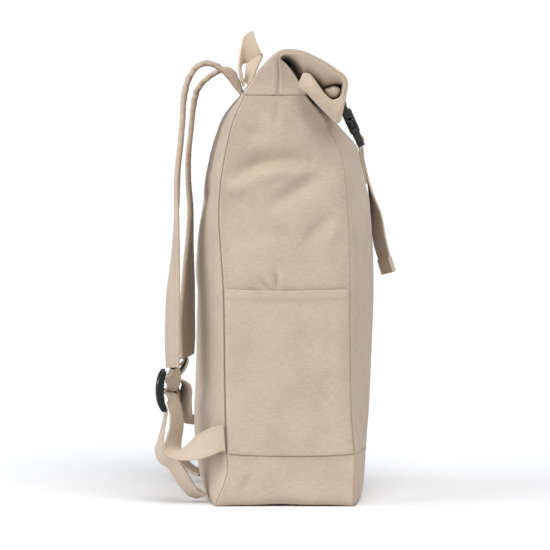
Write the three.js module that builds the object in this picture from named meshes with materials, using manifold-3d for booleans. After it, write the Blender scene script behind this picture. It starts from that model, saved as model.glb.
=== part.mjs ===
// Rolltop backpack in cotton canvas: sewn panels on a base tray, a collar tube
// rolled down toward the front, one side-release buckle, two shoulder straps
// with ladder locks and webbing, and a webbing grab handle.
// Millimetres, +Z up. Origin on the floor under the middle of the base.
// Front (buckle) is -Y, back (straps) is +Y, the wearer's left is -X.
import * as THREE from "three";
import { mergeVertices } from "three/addons/utils/BufferGeometryUtils.js";
import Module from "manifold-3d";

const wasm = await Module();
wasm.setup();

// ---------- driving dimensions ----------
const CLOTH = 1.6; // canvas panel wall, two turned layers at the seams
const COLLAR_WALL = 1.4; // canvas wall of the roll
const GAP = 0.2; // half of the clearance kept at each seam, measured along the panel
const WEB_W = 25; // webbing width
const WEB_T = 2; // webbing thickness
const STRAP_T = 5; // shoulder strap thickness
const BASE_SEAM_Z = 51;
const BASE_SEAM_SAG = 2; // how far the base seam hangs in the middle of a side
const COLLAR_SEAM_Z = 400;
const POCKET_HEM_Z = 212;
const POCKET_SLACK = 2; // how far the pocket's hem stands off the side panel
const FLOOR_LIFT = 2.4; // how far the side's bottom edge arches off the floor
const BOW_P = 2.6; // shape of a panel's bulge between its corner seams
const BOW_Q = 0.85;

// Body sections, from the floor to the collar seam.
// z, back at mid-width, back corner seam, front corner seam, front at mid-width,
// half-width at the corner seams, bulge of the side panel
const BODY = [
  [0, 80, 71, -64, -72, 144, 0],
  [10, 84.5, 68, -64, -75, 145, 0.5],
  [20, 88, 63.5, -64, -76, 145, 1],
  [35, 90.5, 59.5, -65, -77, 145, 1.5],
  [51, 93, 60.6, -65, -78, 145, 2],
  [90, 93.5, 61.6, -62, -81, 146, 3],
  [130, 91.5, 62.3, -61, -83, 146.5, 4],
  [170, 91, 62.7, -60.6, -84.5, 147, 4.5],
  [212, 92, 63.5, -60.5, -85.5, 147, 4.5],
  [250, 91, 66, -60, -84.5, 146.9, 4],
  [285, 87.4, 68, -58.4, -81.5, 147.1, 3],
  [320, 82, 65.6, -56, -74.5, 147.8, 2],
  [345, 76, 61.4, -51, -69, 148.4, 1.5],
  [367, 68, 56.5, -40, -50.6, 149.3, 1],
  [375, 64, 54, -36, -41.5, 149.7, 0.8],
  [387, 56, 49, -27.5, -29, 150.4, 0.5],
  [400, 46, 43, -17.5, -16.5, 151, 0],
];

// Dents and ridges pressed into both side panels: centre y, centre z,
// half-length along y, half-length along z, slope of the crease, depth (in is +)
const SIDE_DENTS = [
  [10, 334, 46, 9, 0.22, 4.0],
  [8, 306, 52, 12, 0.24, -2.4],
  [-22, 282, 30, 9, 0.75, 1.8],
  [-30, 250, 34, 10, 0.75, 1.6],
  [42, 290, 15, 22, -0.6, 1.6],
  [24, 372, 22, 14, 0.2, 1.5],
];

// The collar's path as the section of the roll, from the collar seam to its
// mouth inside the roll: y, z, turn of the section (0 = level, 90 = lying on its
// front), half-width, half-depth, and the shift of the middle against the ends
const ROLL = [
  [12.7, 400.45, 0, 151, 30.1, 0, 0],
  [11.0, 410, 3, 153, 24.6, 0, 0],
  [10.0, 421, 8, 157, 17.2, 0, 0],
  [8.8, 431, 20, 162, 9.8, 0, 0],
  [7.0, 438.4, 44, 165.5, 5.0, 0, 0.3],
  [2.0, 442.6, 76, 168, 2.9, 0, 0.5],
  [-7.0, 443.6, 92, 169, 2.3, 0, 0.6],
  [-19.0, 440.8, 107, 169.5, 2.3, 0.5, 0.6],
  [-33.0, 433.4, 120, 170, 2.3, 1.5, 0.5],
  [-46.0, 424.3, 128, 170, 2.3, 3, 0],
  [-53.6, 416.8, 150, 170, 2.3, 4.5, -1],
  [-55.6, 408.5, 176, 170, 2.3, 5.5, -1],
  [-54.4, 398, 188, 170, 2.3, 5.5, 0],
  [-51.8, 388, 194, 169.5, 2.3, 5, 1.5],
  [-48.6, 378.6, 202, 169, 2.3, 3.5, 3.5],
  [-45.6, 374.9, 245, 169, 2.3, 2, 4.5],
  [-41.4, 377.6, 308, 169, 2.3, 0.8, 5],
  [-34.0, 387.0, 318, 169, 2.4, -0.4, 4.6],
  [-24.4, 398.4, 318, 168.5, 2.6, -0.6, 4.2],
  [-16.8, 406.4, 326, 168, 2.8, -0.6, 3.8],
  [-12.6, 411.4, 352, 167, 2.9, -0.6, 3.4],
  [-13.6, 416.6, 398, 166.5, 2.9, -0.6, 3],
  [-18.4, 418.2, 452, 166, 2.7, -0.6, 2.6],
  [-25.6, 413.6, 484, 166, 2.4, -0.4, 2.4],
  [-33.6, 406.4, 488, 166, 2.3, 0, 2],
  [-40.4, 401.4, 472, 166, 2.3, 1.5, 2],
  [-44.6, 401.8, 432, 166, 2.3, 2.5, 2],
];
const COLLAR_BACK_BOW = 2; // at the seam, fading to none by the fourth row
const COLLAR_FRONT_BOW = -1;

// Shoulder straps, from the collar seam over the bend to the ladder lock:
// x (mirrored for the right), y and z left, y and z right, width,
// azimuth of the width from the X axis
const STRAP = [
  [45, 48.6, 402.4, 48.2, 403.0, 50, 0],
  [46, 53.0, 409.2, 51.2, 411.4, 51, 0],
  [47.5, 58.4, 416.6, 56.4, 419.2, 52, 0],
  [49, 65.6, 423.6, 63.6, 421.8, 53, 0],
  [50.5, 74.4, 428.4, 71.6, 419.4, 54, 0],
  [52, 83.0, 429.2, 79.4, 414.4, 54, 0],
  [53.5, 91.0, 425.0, 86.0, 408.6, 55, 0],
  [55, 97.2, 416.0, 90.6, 401.8, 55, 0],
  [57, 100.8, 406.0, 93.6, 393.0, 55, 0],
  [60, 103.2, 391.4, 96.0, 379.0, 55, 0],
  [64, 104.2, 372.0, 98.2, 358.0, 55, 0],
  [69, 106.0, 350.0, 100.4, 336.0, 55, 0],
  [76, 108.8, 322.0, 100.6, 309.0, 55, 0],
  [83, 109.6, 292.0, 99.2, 282.0, 55, 0.5],
  [90, 110.2, 262.0, 100.0, 252.0, 54, 3],
  [96, 111.4, 232.0, 101.2, 222.0, 53, 7],
  [102, 112.8, 202.0, 102.4, 192.0, 51, 12],
  [107, 113.2, 172.0, 102.8, 164.0, 48, 15.5],
  [110, 113.2, 150.0, 102.6, 144.0, 45, 16.5],
  [111.5, 113.2, 132.8, 102.6, 128.0, 40, 17],
];

// Ladder lock frame: centre x (mirrored), y and z of its top, left and right
const LOCK = { x: 112, left: [119.4, 130.6], right: [110.8, 125.8], az: 4 };
const LOCK_RAIL = 4.2; // width of each side rail
const LOCK_CLEAR = 27; // clear width between the rails
// Side profile of a rail: distance down, inner face, outer face
const LOCK_PROFILE = [
  [0, 0.4, 3.6],
  [4, 1.2, 6.6],
  [11, 2.6, 8.8],
  [20, 3.2, 9.8],
  [29, 2.4, 9.2],
  [36, 0.8, 7.4],
  [40, 0.2, 4.6],
];
// Bars between the rails: distance down, distance out, radius
const LOCK_BARS = [
  [2.4, 2.6, 1.5],
  [14, 5.0, 1.6],
  [26, 5.0, 1.6],
  [37.6, 3.6, 1.6],
];

// Webbing through the lock's upper slot and back into the strap end: distance
// out and down in the lock's own frame, azimuth of the width
const LOOP = [
  [-8.0, -0.8, 20],
  [-7.0, 5, 18],
  [-3.4, 12, 12],
  [0.8, 16.8, 5],
  [5.2, 17.8, 4],
  [8.2, 15.6, 4],
  [8.0, 12.4, 4],
  [5.0, 10.2, 4],
  [0.8, 9.2, 5],
  [-2.6, 6.0, 12],
  [-4.4, 2.6, 18],
  [-5.0, -0.8, 20],
];

// Lower webbing from the corner seam to the lock. Columns: x, y, z left, y and z
// right, azimuth of the width, rise of the width (90 = upright)
const LOWER = [
  [146.8, 62.2, 66.6, 62.2, 73.6, 0, 90],
  [146.8, 69.0, 65.8, 69.0, 72.8, 0, 88],
  [145.4, 78.0, 61.6, 77.0, 70.4, -4, 83],
  [142.0, 87.0, 57.6, 85.0, 67.6, -12, 72],
  [136.0, 95.6, 54.4, 92.0, 65.6, -26, 52],
  [128.0, 103.6, 52.2, 98.0, 64.6, -38, 32],
  [121.0, 109.6, 51.6, 102.4, 65.0, -42, 14],
  [116.4, 112.8, 54.8, 104.8, 68.4, -36, 4],
  [114.0, 112.0, 62.4, 105.0, 75.0, -30, 0],
  [113.0, 110.0, 74.0, 104.6, 83.0, -26, 0],
  [112.6, 109.8, 88.0, 104.2, 89.4, -22, 0],
];
// then in the lock's frame, over its third bar: distance out, distance down,
// azimuth of the width
const THROUGH = [
  [-7.8, 31.0, -14],
  [-4.4, 25.2, -4],
  [0.2, 21.4, 2],
  [5.0, 20.8, 4],
  [8.4, 22.6, 4],
  [8.8, 26.6, 4],
  [7.4, 30.2, 4],
  [3.6, 32.2, 4],
  [0.8, 35.6, 5],
  [0.2, 41.0, 6],
];
// and the free tail down to the floor
const TAIL = [
  [112.0, 122.4, 76.0, 113.4, 70.0, 8, 0],
  [111.0, 126.2, 58.0, 117.0, 56.0, 14, 0],
  [110.0, 126.0, 45.0, 118.4, 44.0, 24, 0],
  [109.0, 119.0, 36.6, 115.6, 33.6, 30, 4],
  [107.0, 109.4, 26.4, 109.0, 24.6, 31, 6],
  [104.0, 101.0, 15.0, 101.0, 17.0, 30, 6],
  [101.0, 93.2, 7.6, 94.0, 11.6, 24, 8],
  [99.0, 84.8, 4.8, 87.6, 8.2, 12, 12],
];

// Grab handle: x, y, z, azimuth and rise of the width
const HANDLE = [
  [-34, 44.8, 407.2, -3, 0],
  [-34.6, 46.4, 416, -3, 0],
  [-34.4, 47.6, 424.6, -4, -2],
  [-32.8, 46.8, 432.4, -8, -6],
  [-28.4, 44.6, 439.2, -16, -17],
  [-17, 40.2, 444.4, -38, -46],
  [-8, 35.4, 448.2, -66, -64],
  [0, 32.2, 449.2, -90, -72],
  [9, 31.4, 447.4, -112, -62],
  [18, 32.4, 442.8, -138, -38],
  [26, 34.8, 435.5, -150, -14],
  [31, 36.8, 427, -158, -4],
  [33.5, 39.6, 417, -166, 0],
  [34.6, 43.6, 408.4, -174, 0],
];

// Closure: the buckle's axis from its top to its bottom, as y, z
const BUCKLE_TOP = [-53.5, 390.6];
const BUCKLE_TILT = 24.5; // degrees from upright, leaning out toward the bottom
const FEMALE_LEN = 34;
const FEMALE_EYE = 9; // length of the webbing eye at its top
const FEMALE_W = 33;
const FEMALE_T = 10.4;
const MALE_LEN = 14; // the part of the male body that stays outside
const MALE_W = 31;
const MALE_T = 8;
const PRONG_LEN = 15;

// Webbing that holds the female part, looped round its eye: y, z
const ROLL_WEB = [
  [-54.0, 414.0],
  [-54.4, 406.0],
  [-54.9, 399.0],
  [-55.9, 393.6],
  [-57.3, 389.8],
  [-57.2, 386.6],
  [-55.2, 385.2],
  [-52.8, 386.0],
  [-51.4, 388.8],
  [-52.0, 393.0],
];
// Closure webbing: sewn to the front panel, up to the male part, over its bar
// and down again as the free tail. First the sewn stretch: y, z
const ANCHOR = [
  [-78.5, 309.0],
  [-76.1, 320.0],
  [-74.0, 330.0],
  [-72.5, 338.0],
];
// then in the buckle's frame: distance outward, distance down from the male's top
const OVER_BAR = [
  [-3.0, 16.4],
  [-3.0, 9.6],
  [-1.8, 5.8],
  [1.0, 4.6],
  [3.8, 5.6],
  [4.2, 8.2],
  [3.0, 10.2],
  [0.5, 11.0],
  [-0.5, 12.4],
  [-0.5, 14.0],
  [-0.5, 17.0],
];
// and the free tail: x, y, z, azimuth of the width
const FREE_TAIL = [
  [0, -75.9, 336.0, 0],
  [0, -77.8, 327.6, 0],
  [0, -81.4, 311.6, 1],
  [0.6, -85.4, 292.5, 8],
  [1.2, -89.4, 270.5, 16],
  [1.4, -92.2, 252.5, 22],
  [1.4, -94.4, 241.0, 22],
  [1.2, -97.0, 231.6, 20],
];
const TAIL_HEM = [
  [1.2, -96.2, 234.0, 20],
  [1.0, -98.6, 226.4, 18],
  [0.8, -100.8, 219.4, 16],
];

// ---------- materials ----------
const cloth = (color) =>
  new THREE.MeshStandardMaterial({ color, roughness: 0.92, metalness: 0 });
const CANVAS = cloth(0xcdbca5);
const CANVAS_BASE = cloth(0xc9b8a1);
const WEBBING = cloth(0xd3c3ae);
const PLASTIC = new THREE.MeshStandardMaterial({
  color: 0x262829,
  roughness: 0.55,
  metalness: 0,
});

// ---------- helpers ----------
const V = (x, y, z) => new THREE.Vector3(x, y, z);
const rad = THREE.MathUtils.degToRad;
const smooth = (t) => t * t * (3 - 2 * t);

// Smooth interpolation of a table's columns at row position t (Catmull-Rom).
function row(table, t) {
  const n = table.length - 1;
  const i = Math.min(Math.floor(t), n - 1);
  const f = t - i;
  const a = table[Math.max(i - 1, 0)];
  const b = table[i];
  const c = table[i + 1];
  const d = table[Math.min(i + 2, n)];
  return b.map(
    (_, k) =>
      0.5 *
      (2 * b[k] +
        (c[k] - a[k]) * f +
        (2 * a[k] - 5 * b[k] + 4 * c[k] - d[k]) * f * f +
        (3 * b[k] - a[k] - 3 * c[k] + d[k]) * f * f * f),
  );
}

// The body's section at height z.
function bodyAt(z) {
  let i = 0;
  while (i < BODY.length - 2 && BODY[i + 1][0] < z) i++;
  const f = (z - BODY[i][0]) / (BODY[i + 1][0] - BODY[i][0]);
  const [, back, backSeam, frontSeam, front, half, bulge] = row(BODY, i + f);
  return { back, backSeam, frontSeam, front, half, bulge };
}

const bow = (s) => Math.pow(1 - Math.pow(Math.abs(s), BOW_P), BOW_Q);

// How far the side panel is pressed in at (y, z).
function dent(y, z) {
  let d = 0;
  for (const [cy, cz, ly, lz, slope, depth] of SIDE_DENTS) {
    const dy = (y - cy) / ly;
    const dz = (z - cz + slope * (y - cy)) / lz;
    d += depth * Math.exp(-dy * dy - dz * dz);
  }
  return d;
}

// Points of the body's four faces. s runs from -1 to 1 across a face, inset is
// the distance inside the outer surface, gap the clearance at the face's edges.
function backPoint(s, z, inset, gap) {
  const b = bodyAt(z);
  const x = s * (b.half - inset - gap);
  return V(x, b.backSeam + (b.back - b.backSeam) * bow(s) - inset, z);
}
function frontPoint(s, z, inset, gap) {
  const b = bodyAt(z);
  const x = s * (b.half - inset - gap);
  return V(x, b.frontSeam + (b.front - b.frontSeam) * bow(s) + inset, z);
}
function sidePoint(sign, s, z, inset, gap) {
  const b = bodyAt(z);
  const y0 = b.frontSeam + inset + gap;
  const y1 = b.backSeam - inset - gap;
  const y = y0 + ((y1 - y0) * (s + 1)) / 2;
  const fade = 1 - Math.pow(Math.abs(s), 4);
  const x = b.half - inset + b.bulge * (1 - s * s) - dent(y, z) * fade;
  return V(sign * x, y, z);
}

// A BufferGeometry from points and triangles, turned to face outward.
function solid(points, faces) {
  let volume = 0;
  for (const [a, b, c] of faces)
    volume += points[a].dot(points[b].clone().cross(points[c]));
  const index = faces.flatMap(([a, b, c]) => (volume < 0 ? [a, c, b] : [a, b, c]));
  const flat = new Float32Array(points.flatMap((p) => [p.x, p.y, p.z]));
  const geometry = new THREE.BufferGeometry();
  geometry.setAttribute("position", new THREE.BufferAttribute(flat, 3));
  geometry.setIndex(index);
  geometry.computeVertexNormals();
  return geometry;
}

// Rings of equal length joined one to the next. With loop the last ring joins
// the first, as on an open-ended tube wall; otherwise both ends are capped.
function rings(list, loop) {
  const n = list[0].length;
  const points = list.flat();
  const faces = [];
  const steps = loop ? list.length : list.length - 1;
  for (let i = 0; i < steps; i++)
    for (let k = 0; k < n; k++) {
      const a = i * n + k;
      const b = i * n + ((k + 1) % n);
      const c = ((i + 1) % list.length) * n + k;
      const d = ((i + 1) % list.length) * n + ((k + 1) % n);
      faces.push([a, b, c], [b, d, c]);
    }
  if (!loop)
    for (const [i, turn] of [
      [0, 1],
      [list.length - 1, 0],
    ]) {
      const centre = list[i].reduce((m, p) => m.add(p), V(0, 0, 0));
      points.push(centre.multiplyScalar(1 / n));
      for (let k = 0; k < n; k++) {
        const a = i * n + k;
        const b = i * n + ((k + 1) % n);
        faces.push(turn ? [b, a, points.length - 1] : [a, b, points.length - 1]);
      }
    }
  return solid(points, faces);
}

// A thin panel from an outer and an inner surface, each a function of (u, v)
// in 0..1, closed round its rim.
function panel(outer, inner, nu, nv) {
  const at = (surface, i, j) => surface(i / nu, j / nv);
  const list = [];
  for (let j = 0; j <= nv; j++) {
    const ring = [];
    for (let i = 0; i <= nu; i++) ring.push(at(outer, i, j));
    for (let i = nu; i >= 0; i--) ring.push(at(inner, i, j));
    list.push(ring);
  }
  const n = list[0].length;
  const faces = [];
  for (let j = 0; j < nv; j++)
    for (let k = 0; k < n; k++) {
      const a = j * n + k;
      const b = j * n + ((k + 1) % n);
      faces.push([a, b, a + n], [b, b + n, a + n]);
    }
  for (let i = 0; i < nu; i++) {
    const o = n - 1 - i;
    faces.push([i + 1, i, o], [i + 1, o, o - 1]);
    const top = nv * n;
    faces.push([top + i, top + i + 1, top + o], [top + i + 1, top + o - 1, top + o]);
  }
  return solid(list.flat(), faces);
}

// A flat band swept along a path. Rows: position, width direction, width, thickness.
function band(path) {
  const list = path.map((p, i) => {
    const before = path[Math.max(i - 1, 0)].at;
    const after = path[Math.min(i + 1, path.length - 1)].at;
    const t = after.clone().sub(before).normalize();
    const w = p.across.clone().addScaledVector(t, -p.across.dot(t)).normalize();
    const n = t.clone().cross(w);
    const corner = (a, b) =>
      p.at.clone().addScaledVector(w, (a * p.width) / 2).addScaledVector(n, (b * p.thick) / 2);
    if (!p.padded) return [corner(-1, -1), corner(1, -1), corner(1, 1), corner(-1, 1)];
    return [
      corner(-1, -0.45),
      corner(-0.94, -1),
      corner(0.94, -1),
      corner(1, -0.45),
      corner(1, 0.45),
      corner(0.94, 1),
      corner(-0.94, 1),
      corner(-1, 0.45),
    ];
  });
  return rings(list, false);
}

const across = (az, rise) =>
  V(
    Math.cos(rad(rise)) * Math.cos(rad(az)),
    Math.cos(rad(rise)) * Math.sin(rad(az)),
    Math.sin(rad(rise)),
  );

// Samples a table into steps per row for a band.
function sample(table, per, make) {
  const out = [];
  const n = (table.length - 1) * per;
  for (let i = 0; i <= n; i++) out.push(make(row(table, i / per)));
  return out;
}

const toManifold = (geometry) => {
  const g = geometry.clone();
  g.deleteAttribute("normal");
  g.deleteAttribute("uv");
  const m = mergeVertices(g, 1e-4);
  return new wasm.Manifold(
    new wasm.Mesh({
      numProp: 3,
      vertProperties: m.attributes.position.array,
      triVerts: new Uint32Array(m.index.array),
    }),
  );
};
const fromManifold = (made) => {
  const mesh = made.getMesh();
  const g = new THREE.BufferGeometry();
  g.setAttribute("position", new THREE.BufferAttribute(mesh.vertProperties.slice(), 3));
  g.setIndex(Array.from(mesh.triVerts));
  g.computeVertexNormals();
  return g;
};
const box = (w, d, h, x, y, z) => new THREE.BoxGeometry(w, d, h).translate(x, y, z);

const group = new THREE.Group();
const add = (name, geometry, material) => {
  const mesh = new THREE.Mesh(geometry, material);
  mesh.name = name;
  group.add(mesh);
};

// ---------- body panels ----------
// The base seam hangs a little in the middle of each side; the panels above it
// and the band below it follow the same line.
const seamZ = (s, side) => BASE_SEAM_Z - (side ? BASE_SEAM_SAG * (1 - s * s) : 0);
const LEVELS = 17;
const height = (v, low) => low + (COLLAR_SEAM_Z - low) * v;

add(
  "back_panel",
  panel(
    (u, v) => backPoint(2 * u - 1, height(v, BASE_SEAM_Z + 0.2), 0, GAP),
    (u, v) => backPoint(2 * u - 1, height(v, BASE_SEAM_Z + 0.2), CLOTH, GAP),
    14,
    LEVELS,
  ),
  CANVAS,
);
add(
  "front_panel",
  panel(
    (u, v) => frontPoint(2 * u - 1, height(v, BASE_SEAM_Z + 0.2), 0, GAP),
    (u, v) => frontPoint(2 * u - 1, height(v, BASE_SEAM_Z + 0.2), CLOTH, GAP),
    14,
    LEVELS,
  ),
  CANVAS,
);
for (const [side, sign] of [
  ["left", -1],
  ["right", 1],
]) {
  const at = (inset) => (u, v) => {
    const s = 2 * u - 1;
    return sidePoint(sign, s, height(v, seamZ(s, true) + 0.2), inset, GAP);
  };
  add("side_panel_" + side, panel(at(0), at(CLOTH), 8, LEVELS), CANVAS);

  // Patch pocket sewn in with the side seams and the base seam.
  const patch = (layer) => (u, v) => {
    const s = 2 * u - 1;
    const low = seamZ(s, true) + 0.6;
    const z = low + (POCKET_HEM_Z - low - 1.2 * (1 - s * s)) * v;
    const slack = POCKET_SLACK * v * v * (1 - s * s);
    return sidePoint(sign, s, z, -(0.35 + slack + layer), 1.2 + layer);
  };
  add("side_pocket_" + side, panel(patch(1.4), patch(0), 8, 8), CANVAS);
}

// ---------- base tray ----------
const FACE_STEPS = 10;
const SIDE_STEPS = 6;
function bodyRing(levelOf, inset, lift = 0) {
  const ring = [];
  for (let i = 0; i < FACE_STEPS; i++) {
    const s = -1 + (2 * i) / FACE_STEPS;
    ring.push(backPoint(s, levelOf(s, false), inset, 0));
  }
  for (let i = 0; i < SIDE_STEPS; i++) {
    const s = 1 - (2 * i) / SIDE_STEPS;
    ring.push(sidePoint(1, s, levelOf(s, true), inset, 0));
  }
  for (let i = 0; i < FACE_STEPS; i++) {
    const s = 1 - (2 * i) / FACE_STEPS;
    ring.push(frontPoint(s, levelOf(s, false), inset, 0));
  }
  for (let i = 0; i < SIDE_STEPS; i++) {
    const s = -1 + (2 * i) / SIDE_STEPS;
    ring.push(sidePoint(-1, s, levelOf(s, true), inset, 0));
  }
  return ring;
}
const levels = [0.06, 0.2, 0.4, 0.7, 1];
const tray = [];
// flat floor, then the rim that arches up a little along the sides
tray.push(bodyRing(() => 0, 9).map((p) => V(p.x, p.y, 0)));
tray.push(
  bodyRing((s, side) => 0, 0).map((p) => {
    const along = Math.abs(p.x) > 140 ? 1 - Math.pow((p.y - 3) / 68, 2) : 0;
    return V(p.x, p.y, 0.3 + FLOOR_LIFT * Math.max(along, 0));
  }),
);
for (const f of levels)
  tray.push(bodyRing((s, side) => 3 + (seamZ(s, side) - 0.2 - 3) * f, 0));
for (const f of levels.slice().reverse())
  tray.push(bodyRing((s, side) => 3 + (seamZ(s, side) - 0.2 - 3) * f, CLOTH));
tray.push(bodyRing(() => 2.2, CLOTH + 8).map((p) => V(p.x, p.y, CLOTH)));
add("base_tray", rings(tray, false), CANVAS_BASE);

// ---------- rolled collar ----------
function collarRing(t, inset) {
  const [y, z, turn, half, depth, midY, midZ] = row(ROLL, t);
  const fade = Math.max(0, 1 - t / 3);
  const a = half - inset;
  const g = depth - inset;
  const phi = rad(turn);
  const place = (x, d) => {
    const m = 1 - (x / half) * (x / half);
    return V(
      x,
      y + Math.cos(phi) * d + midY * m,
      z + Math.sin(phi) * d + midZ * m,
    );
  };
  const ring = [];
  for (let i = 0; i < FACE_STEPS; i++) {
    const s = -1 + (2 * i) / FACE_STEPS;
    ring.push(place(s * a, g + COLLAR_BACK_BOW * fade * bow(s)));
  }
  for (let i = 0; i < 3; i++) {
    const s = 1 - (2 * i) / 3;
    ring.push(place(a + Math.min(g, 1.6) * 0.5 * (1 - s * s), s * g));
  }
  for (let i = 0; i < FACE_STEPS; i++) {
    const s = 1 - (2 * i) / FACE_STEPS;
    ring.push(place(s * a, -g - COLLAR_FRONT_BOW * fade * bow(s)));
  }
  for (let i = 0; i < 3; i++) {
    const s = -1 + (2 * i) / 3;
    ring.push(place(-a - Math.min(g, 1.6) * 0.5 * (1 - s * s), s * g));
  }
  return ring;
}
const collar = [];
const STEPS = ROLL.length - 1;
for (let i = 0; i <= STEPS; i++) collar.push(collarRing(i, 0));
for (let i = STEPS; i >= 0; i--) collar.push(collarRing(i, COLLAR_WALL));
add("roll_collar", rings(collar, true), CANVAS);

// ---------- shoulder straps, ladder locks and webbing ----------
for (const [side, sign, cy, cz] of [
  ["left", -1, 1, 2],
  ["right", 1, 3, 4],
]) {
  add(
    "shoulder_strap_" + side,
    band(
      sample(STRAP, 2, (r) => ({
        at: V(sign * r[0], r[cy], r[cz]),
        across: across(-sign * r[6], 0),
        width: r[5],
        thick: STRAP_T,
        padded: true,
      })),
    ),
    CANVAS,
  );

  // The lock's frame: out is away from the bag, down runs along the strap.
  const [ly, lz] = LOCK[side];
  const az = rad(-sign * LOCK.az);
  const out = V(-Math.sin(az), Math.cos(az), 0);
  const atLock = (p, q) => V(sign * LOCK.x, ly, lz - q).addScaledVector(out, p);
  const profile = new THREE.Shape();
  LOCK_PROFILE.forEach(([q, , o], i) =>
    i ? profile.lineTo(o, -q) : profile.moveTo(o, -q),
  );
  LOCK_PROFILE.slice().reverse().forEach(([q, p]) => profile.lineTo(p, -q));
  const place = (g) =>
    g
      .applyMatrix4(
        new THREE.Matrix4().makeBasis(
          out,
          V(0, 0, 1),
          out.clone().cross(V(0, 0, 1)),
        ),
      )
      .translate(sign * LOCK.x, ly, lz);
  let lock = null;
  for (const edge of [-1, 1]) {
    const rail = new THREE.ExtrudeGeometry(profile, {
      depth: LOCK_RAIL,
      bevelEnabled: false,
    }).translate(0, 0, edge > 0 ? LOCK_CLEAR / 2 : -LOCK_CLEAR / 2 - LOCK_RAIL);
    const made = toManifold(place(rail));
    lock = lock ? lock.add(made) : made;
  }
  for (const [q, p, r] of LOCK_BARS) {
    const bar = new THREE.CylinderGeometry(r, r, LOCK_CLEAR + 2, 8)
      .rotateX(Math.PI / 2)
      .translate(p, -q, 0);
    lock = lock.add(toManifold(place(bar)));
  }
  add("ladder_lock_" + side, fromManifold(lock), PLASTIC);

  add(
    "strap_loop_" + side,
    band(
      sample(LOOP, 2, ([p, q, turn]) => ({
        at: atLock(p, q),
        across: across(-sign * turn, 0),
        width: WEB_W,
        thick: WEB_T,
      })),
    ),
    WEBBING,
  );

  const rowOf = (r) => ({
    at: V(sign * r[0], r[cy], r[cz]),
    across: across(-sign * r[5], -sign * r[6]),
    width: WEB_W,
    thick: WEB_T,
  });
  const slotRows = THROUGH.map(([p, q, turn]) => ({
    at: atLock(p, q),
    across: across(-sign * turn, 0),
    width: WEB_W,
    thick: WEB_T,
  }));
  const all = [...LOWER.map(rowOf), ...slotRows, ...TAIL.map(rowOf)];
  const table = all.map((p) => [...p.at.toArray(), ...p.across.toArray()]);
  add(
    "lower_webbing_" + side,
    band(
      sample(table, 2, (r) => ({
        at: V(r[0], r[1], r[2]),
        across: V(r[3], r[4], r[5]),
        width: WEB_W,
        thick: WEB_T,
      })),
    ),
    WEBBING,
  );
}

// ---------- grab handle ----------
add(
  "grab_handle",
  band(
    sample(HANDLE, 2, ([x, y, z, az, rise]) => ({
      at: V(x, y, z),
      across: across(az, rise),
      width: WEB_W,
      thick: WEB_T,
    })),
  ),
  WEBBING,
);

// ---------- closure ----------
// Local frame of the buckle: x across, outward along -y, down along -z from its top.
const tilt = rad(BUCKLE_TILT);
const onBuckle = (g) =>
  toManifold(g.rotateX(-tilt).translate(0, BUCKLE_TOP[0], BUCKLE_TOP[1]));
const female = onBuckle(
  box(
    FEMALE_W,
    FEMALE_T,
    FEMALE_LEN - FEMALE_EYE,
    0,
    0,
    -FEMALE_EYE - (FEMALE_LEN - FEMALE_EYE) / 2,
  ),
)
  // the pocket that takes the prongs, open at the bottom and at both sides
  .subtract(onBuckle(box(FEMALE_W - 6, FEMALE_T - 4, 20, 0, 0, -FEMALE_LEN + 9.99)))
  .subtract(onBuckle(box(FEMALE_W + 2, FEMALE_T - 4.6, 10, 0, 0, -FEMALE_LEN + 13)))
  // the eye that takes the webbing
  .add(onBuckle(box(3.6, 5, FEMALE_EYE + 1, 1.8 - FEMALE_W / 2, 0, -5)))
  .add(onBuckle(box(3.6, 5, FEMALE_EYE + 1, FEMALE_W / 2 - 1.8, 0, -5)))
  .add(onBuckle(box(FEMALE_W, 2.4, 2.4, 0, -0.5, -1.4)));
add("buckle_female", fromManifold(female), PLASTIC);

const maleTop = -FEMALE_LEN - 0.35;
let male = onBuckle(box(MALE_W, MALE_T, MALE_LEN, 0, 0, maleTop - MALE_LEN / 2))
  // the window that takes the webbing
  .subtract(onBuckle(box(26, MALE_T + 2, 20, 0, 0, maleTop - 13.2)))
  // its middle bar and its end bar
  .add(onBuckle(box(28, 2.2, 2, 0, -0.9, maleTop - 8.1)))
  .add(onBuckle(box(28, 2.6, 1.6, 0, -2.7, maleTop - 13.2)));
for (const edge of [-1, 1])
  male = male.add(
    onBuckle(
      box(5, FEMALE_T - 5.4, PRONG_LEN, edge * 10, 0, maleTop - 0.5 + PRONG_LEN / 2),
    ),
  );
add("buckle_male", fromManifold(male), PLASTIC);

add(
  "roll_webbing",
  band(
    sample(ROLL_WEB, 2, ([y, z]) => ({
      at: V(0, y, z),
      across: V(1, 0, 0),
      width: WEB_W,
      thick: WEB_T,
    })),
  ),
  WEBBING,
);
const overBar = OVER_BAR.map(([o, q]) => [
  0,
  BUCKLE_TOP[0] - o * Math.cos(tilt) + (maleTop - q) * Math.sin(tilt),
  BUCKLE_TOP[1] + o * Math.sin(tilt) + (maleTop - q) * Math.cos(tilt),
  0,
]);
const turned = (table, thick) =>
  toManifold(
    band(
      sample(table, 2, ([x, y, z, az]) => ({
        at: V(x, y, z),
        across: across(az, 0),
        width: WEB_W,
        thick,
      })),
    ),
  );
// The free end is folded twice into a thick hem, part of the same webbing.
const closure = turned(
  [...ANCHOR.map(([y, z]) => [0, y, z, 0]), ...overBar, ...FREE_TAIL],
  WEB_T,
).add(turned(TAIL_HEM, WEB_T * 2.6));
add("closure_webbing", fromManifold(closure), WEBBING);

export default group;
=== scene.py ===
# Looks of the rolltop backpack. Lengths in the tables are millimetres, in the
# CAD's frame: +Z up, buckle side -Y, shoulder straps +Y, wearer's left -X.
import math

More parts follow.
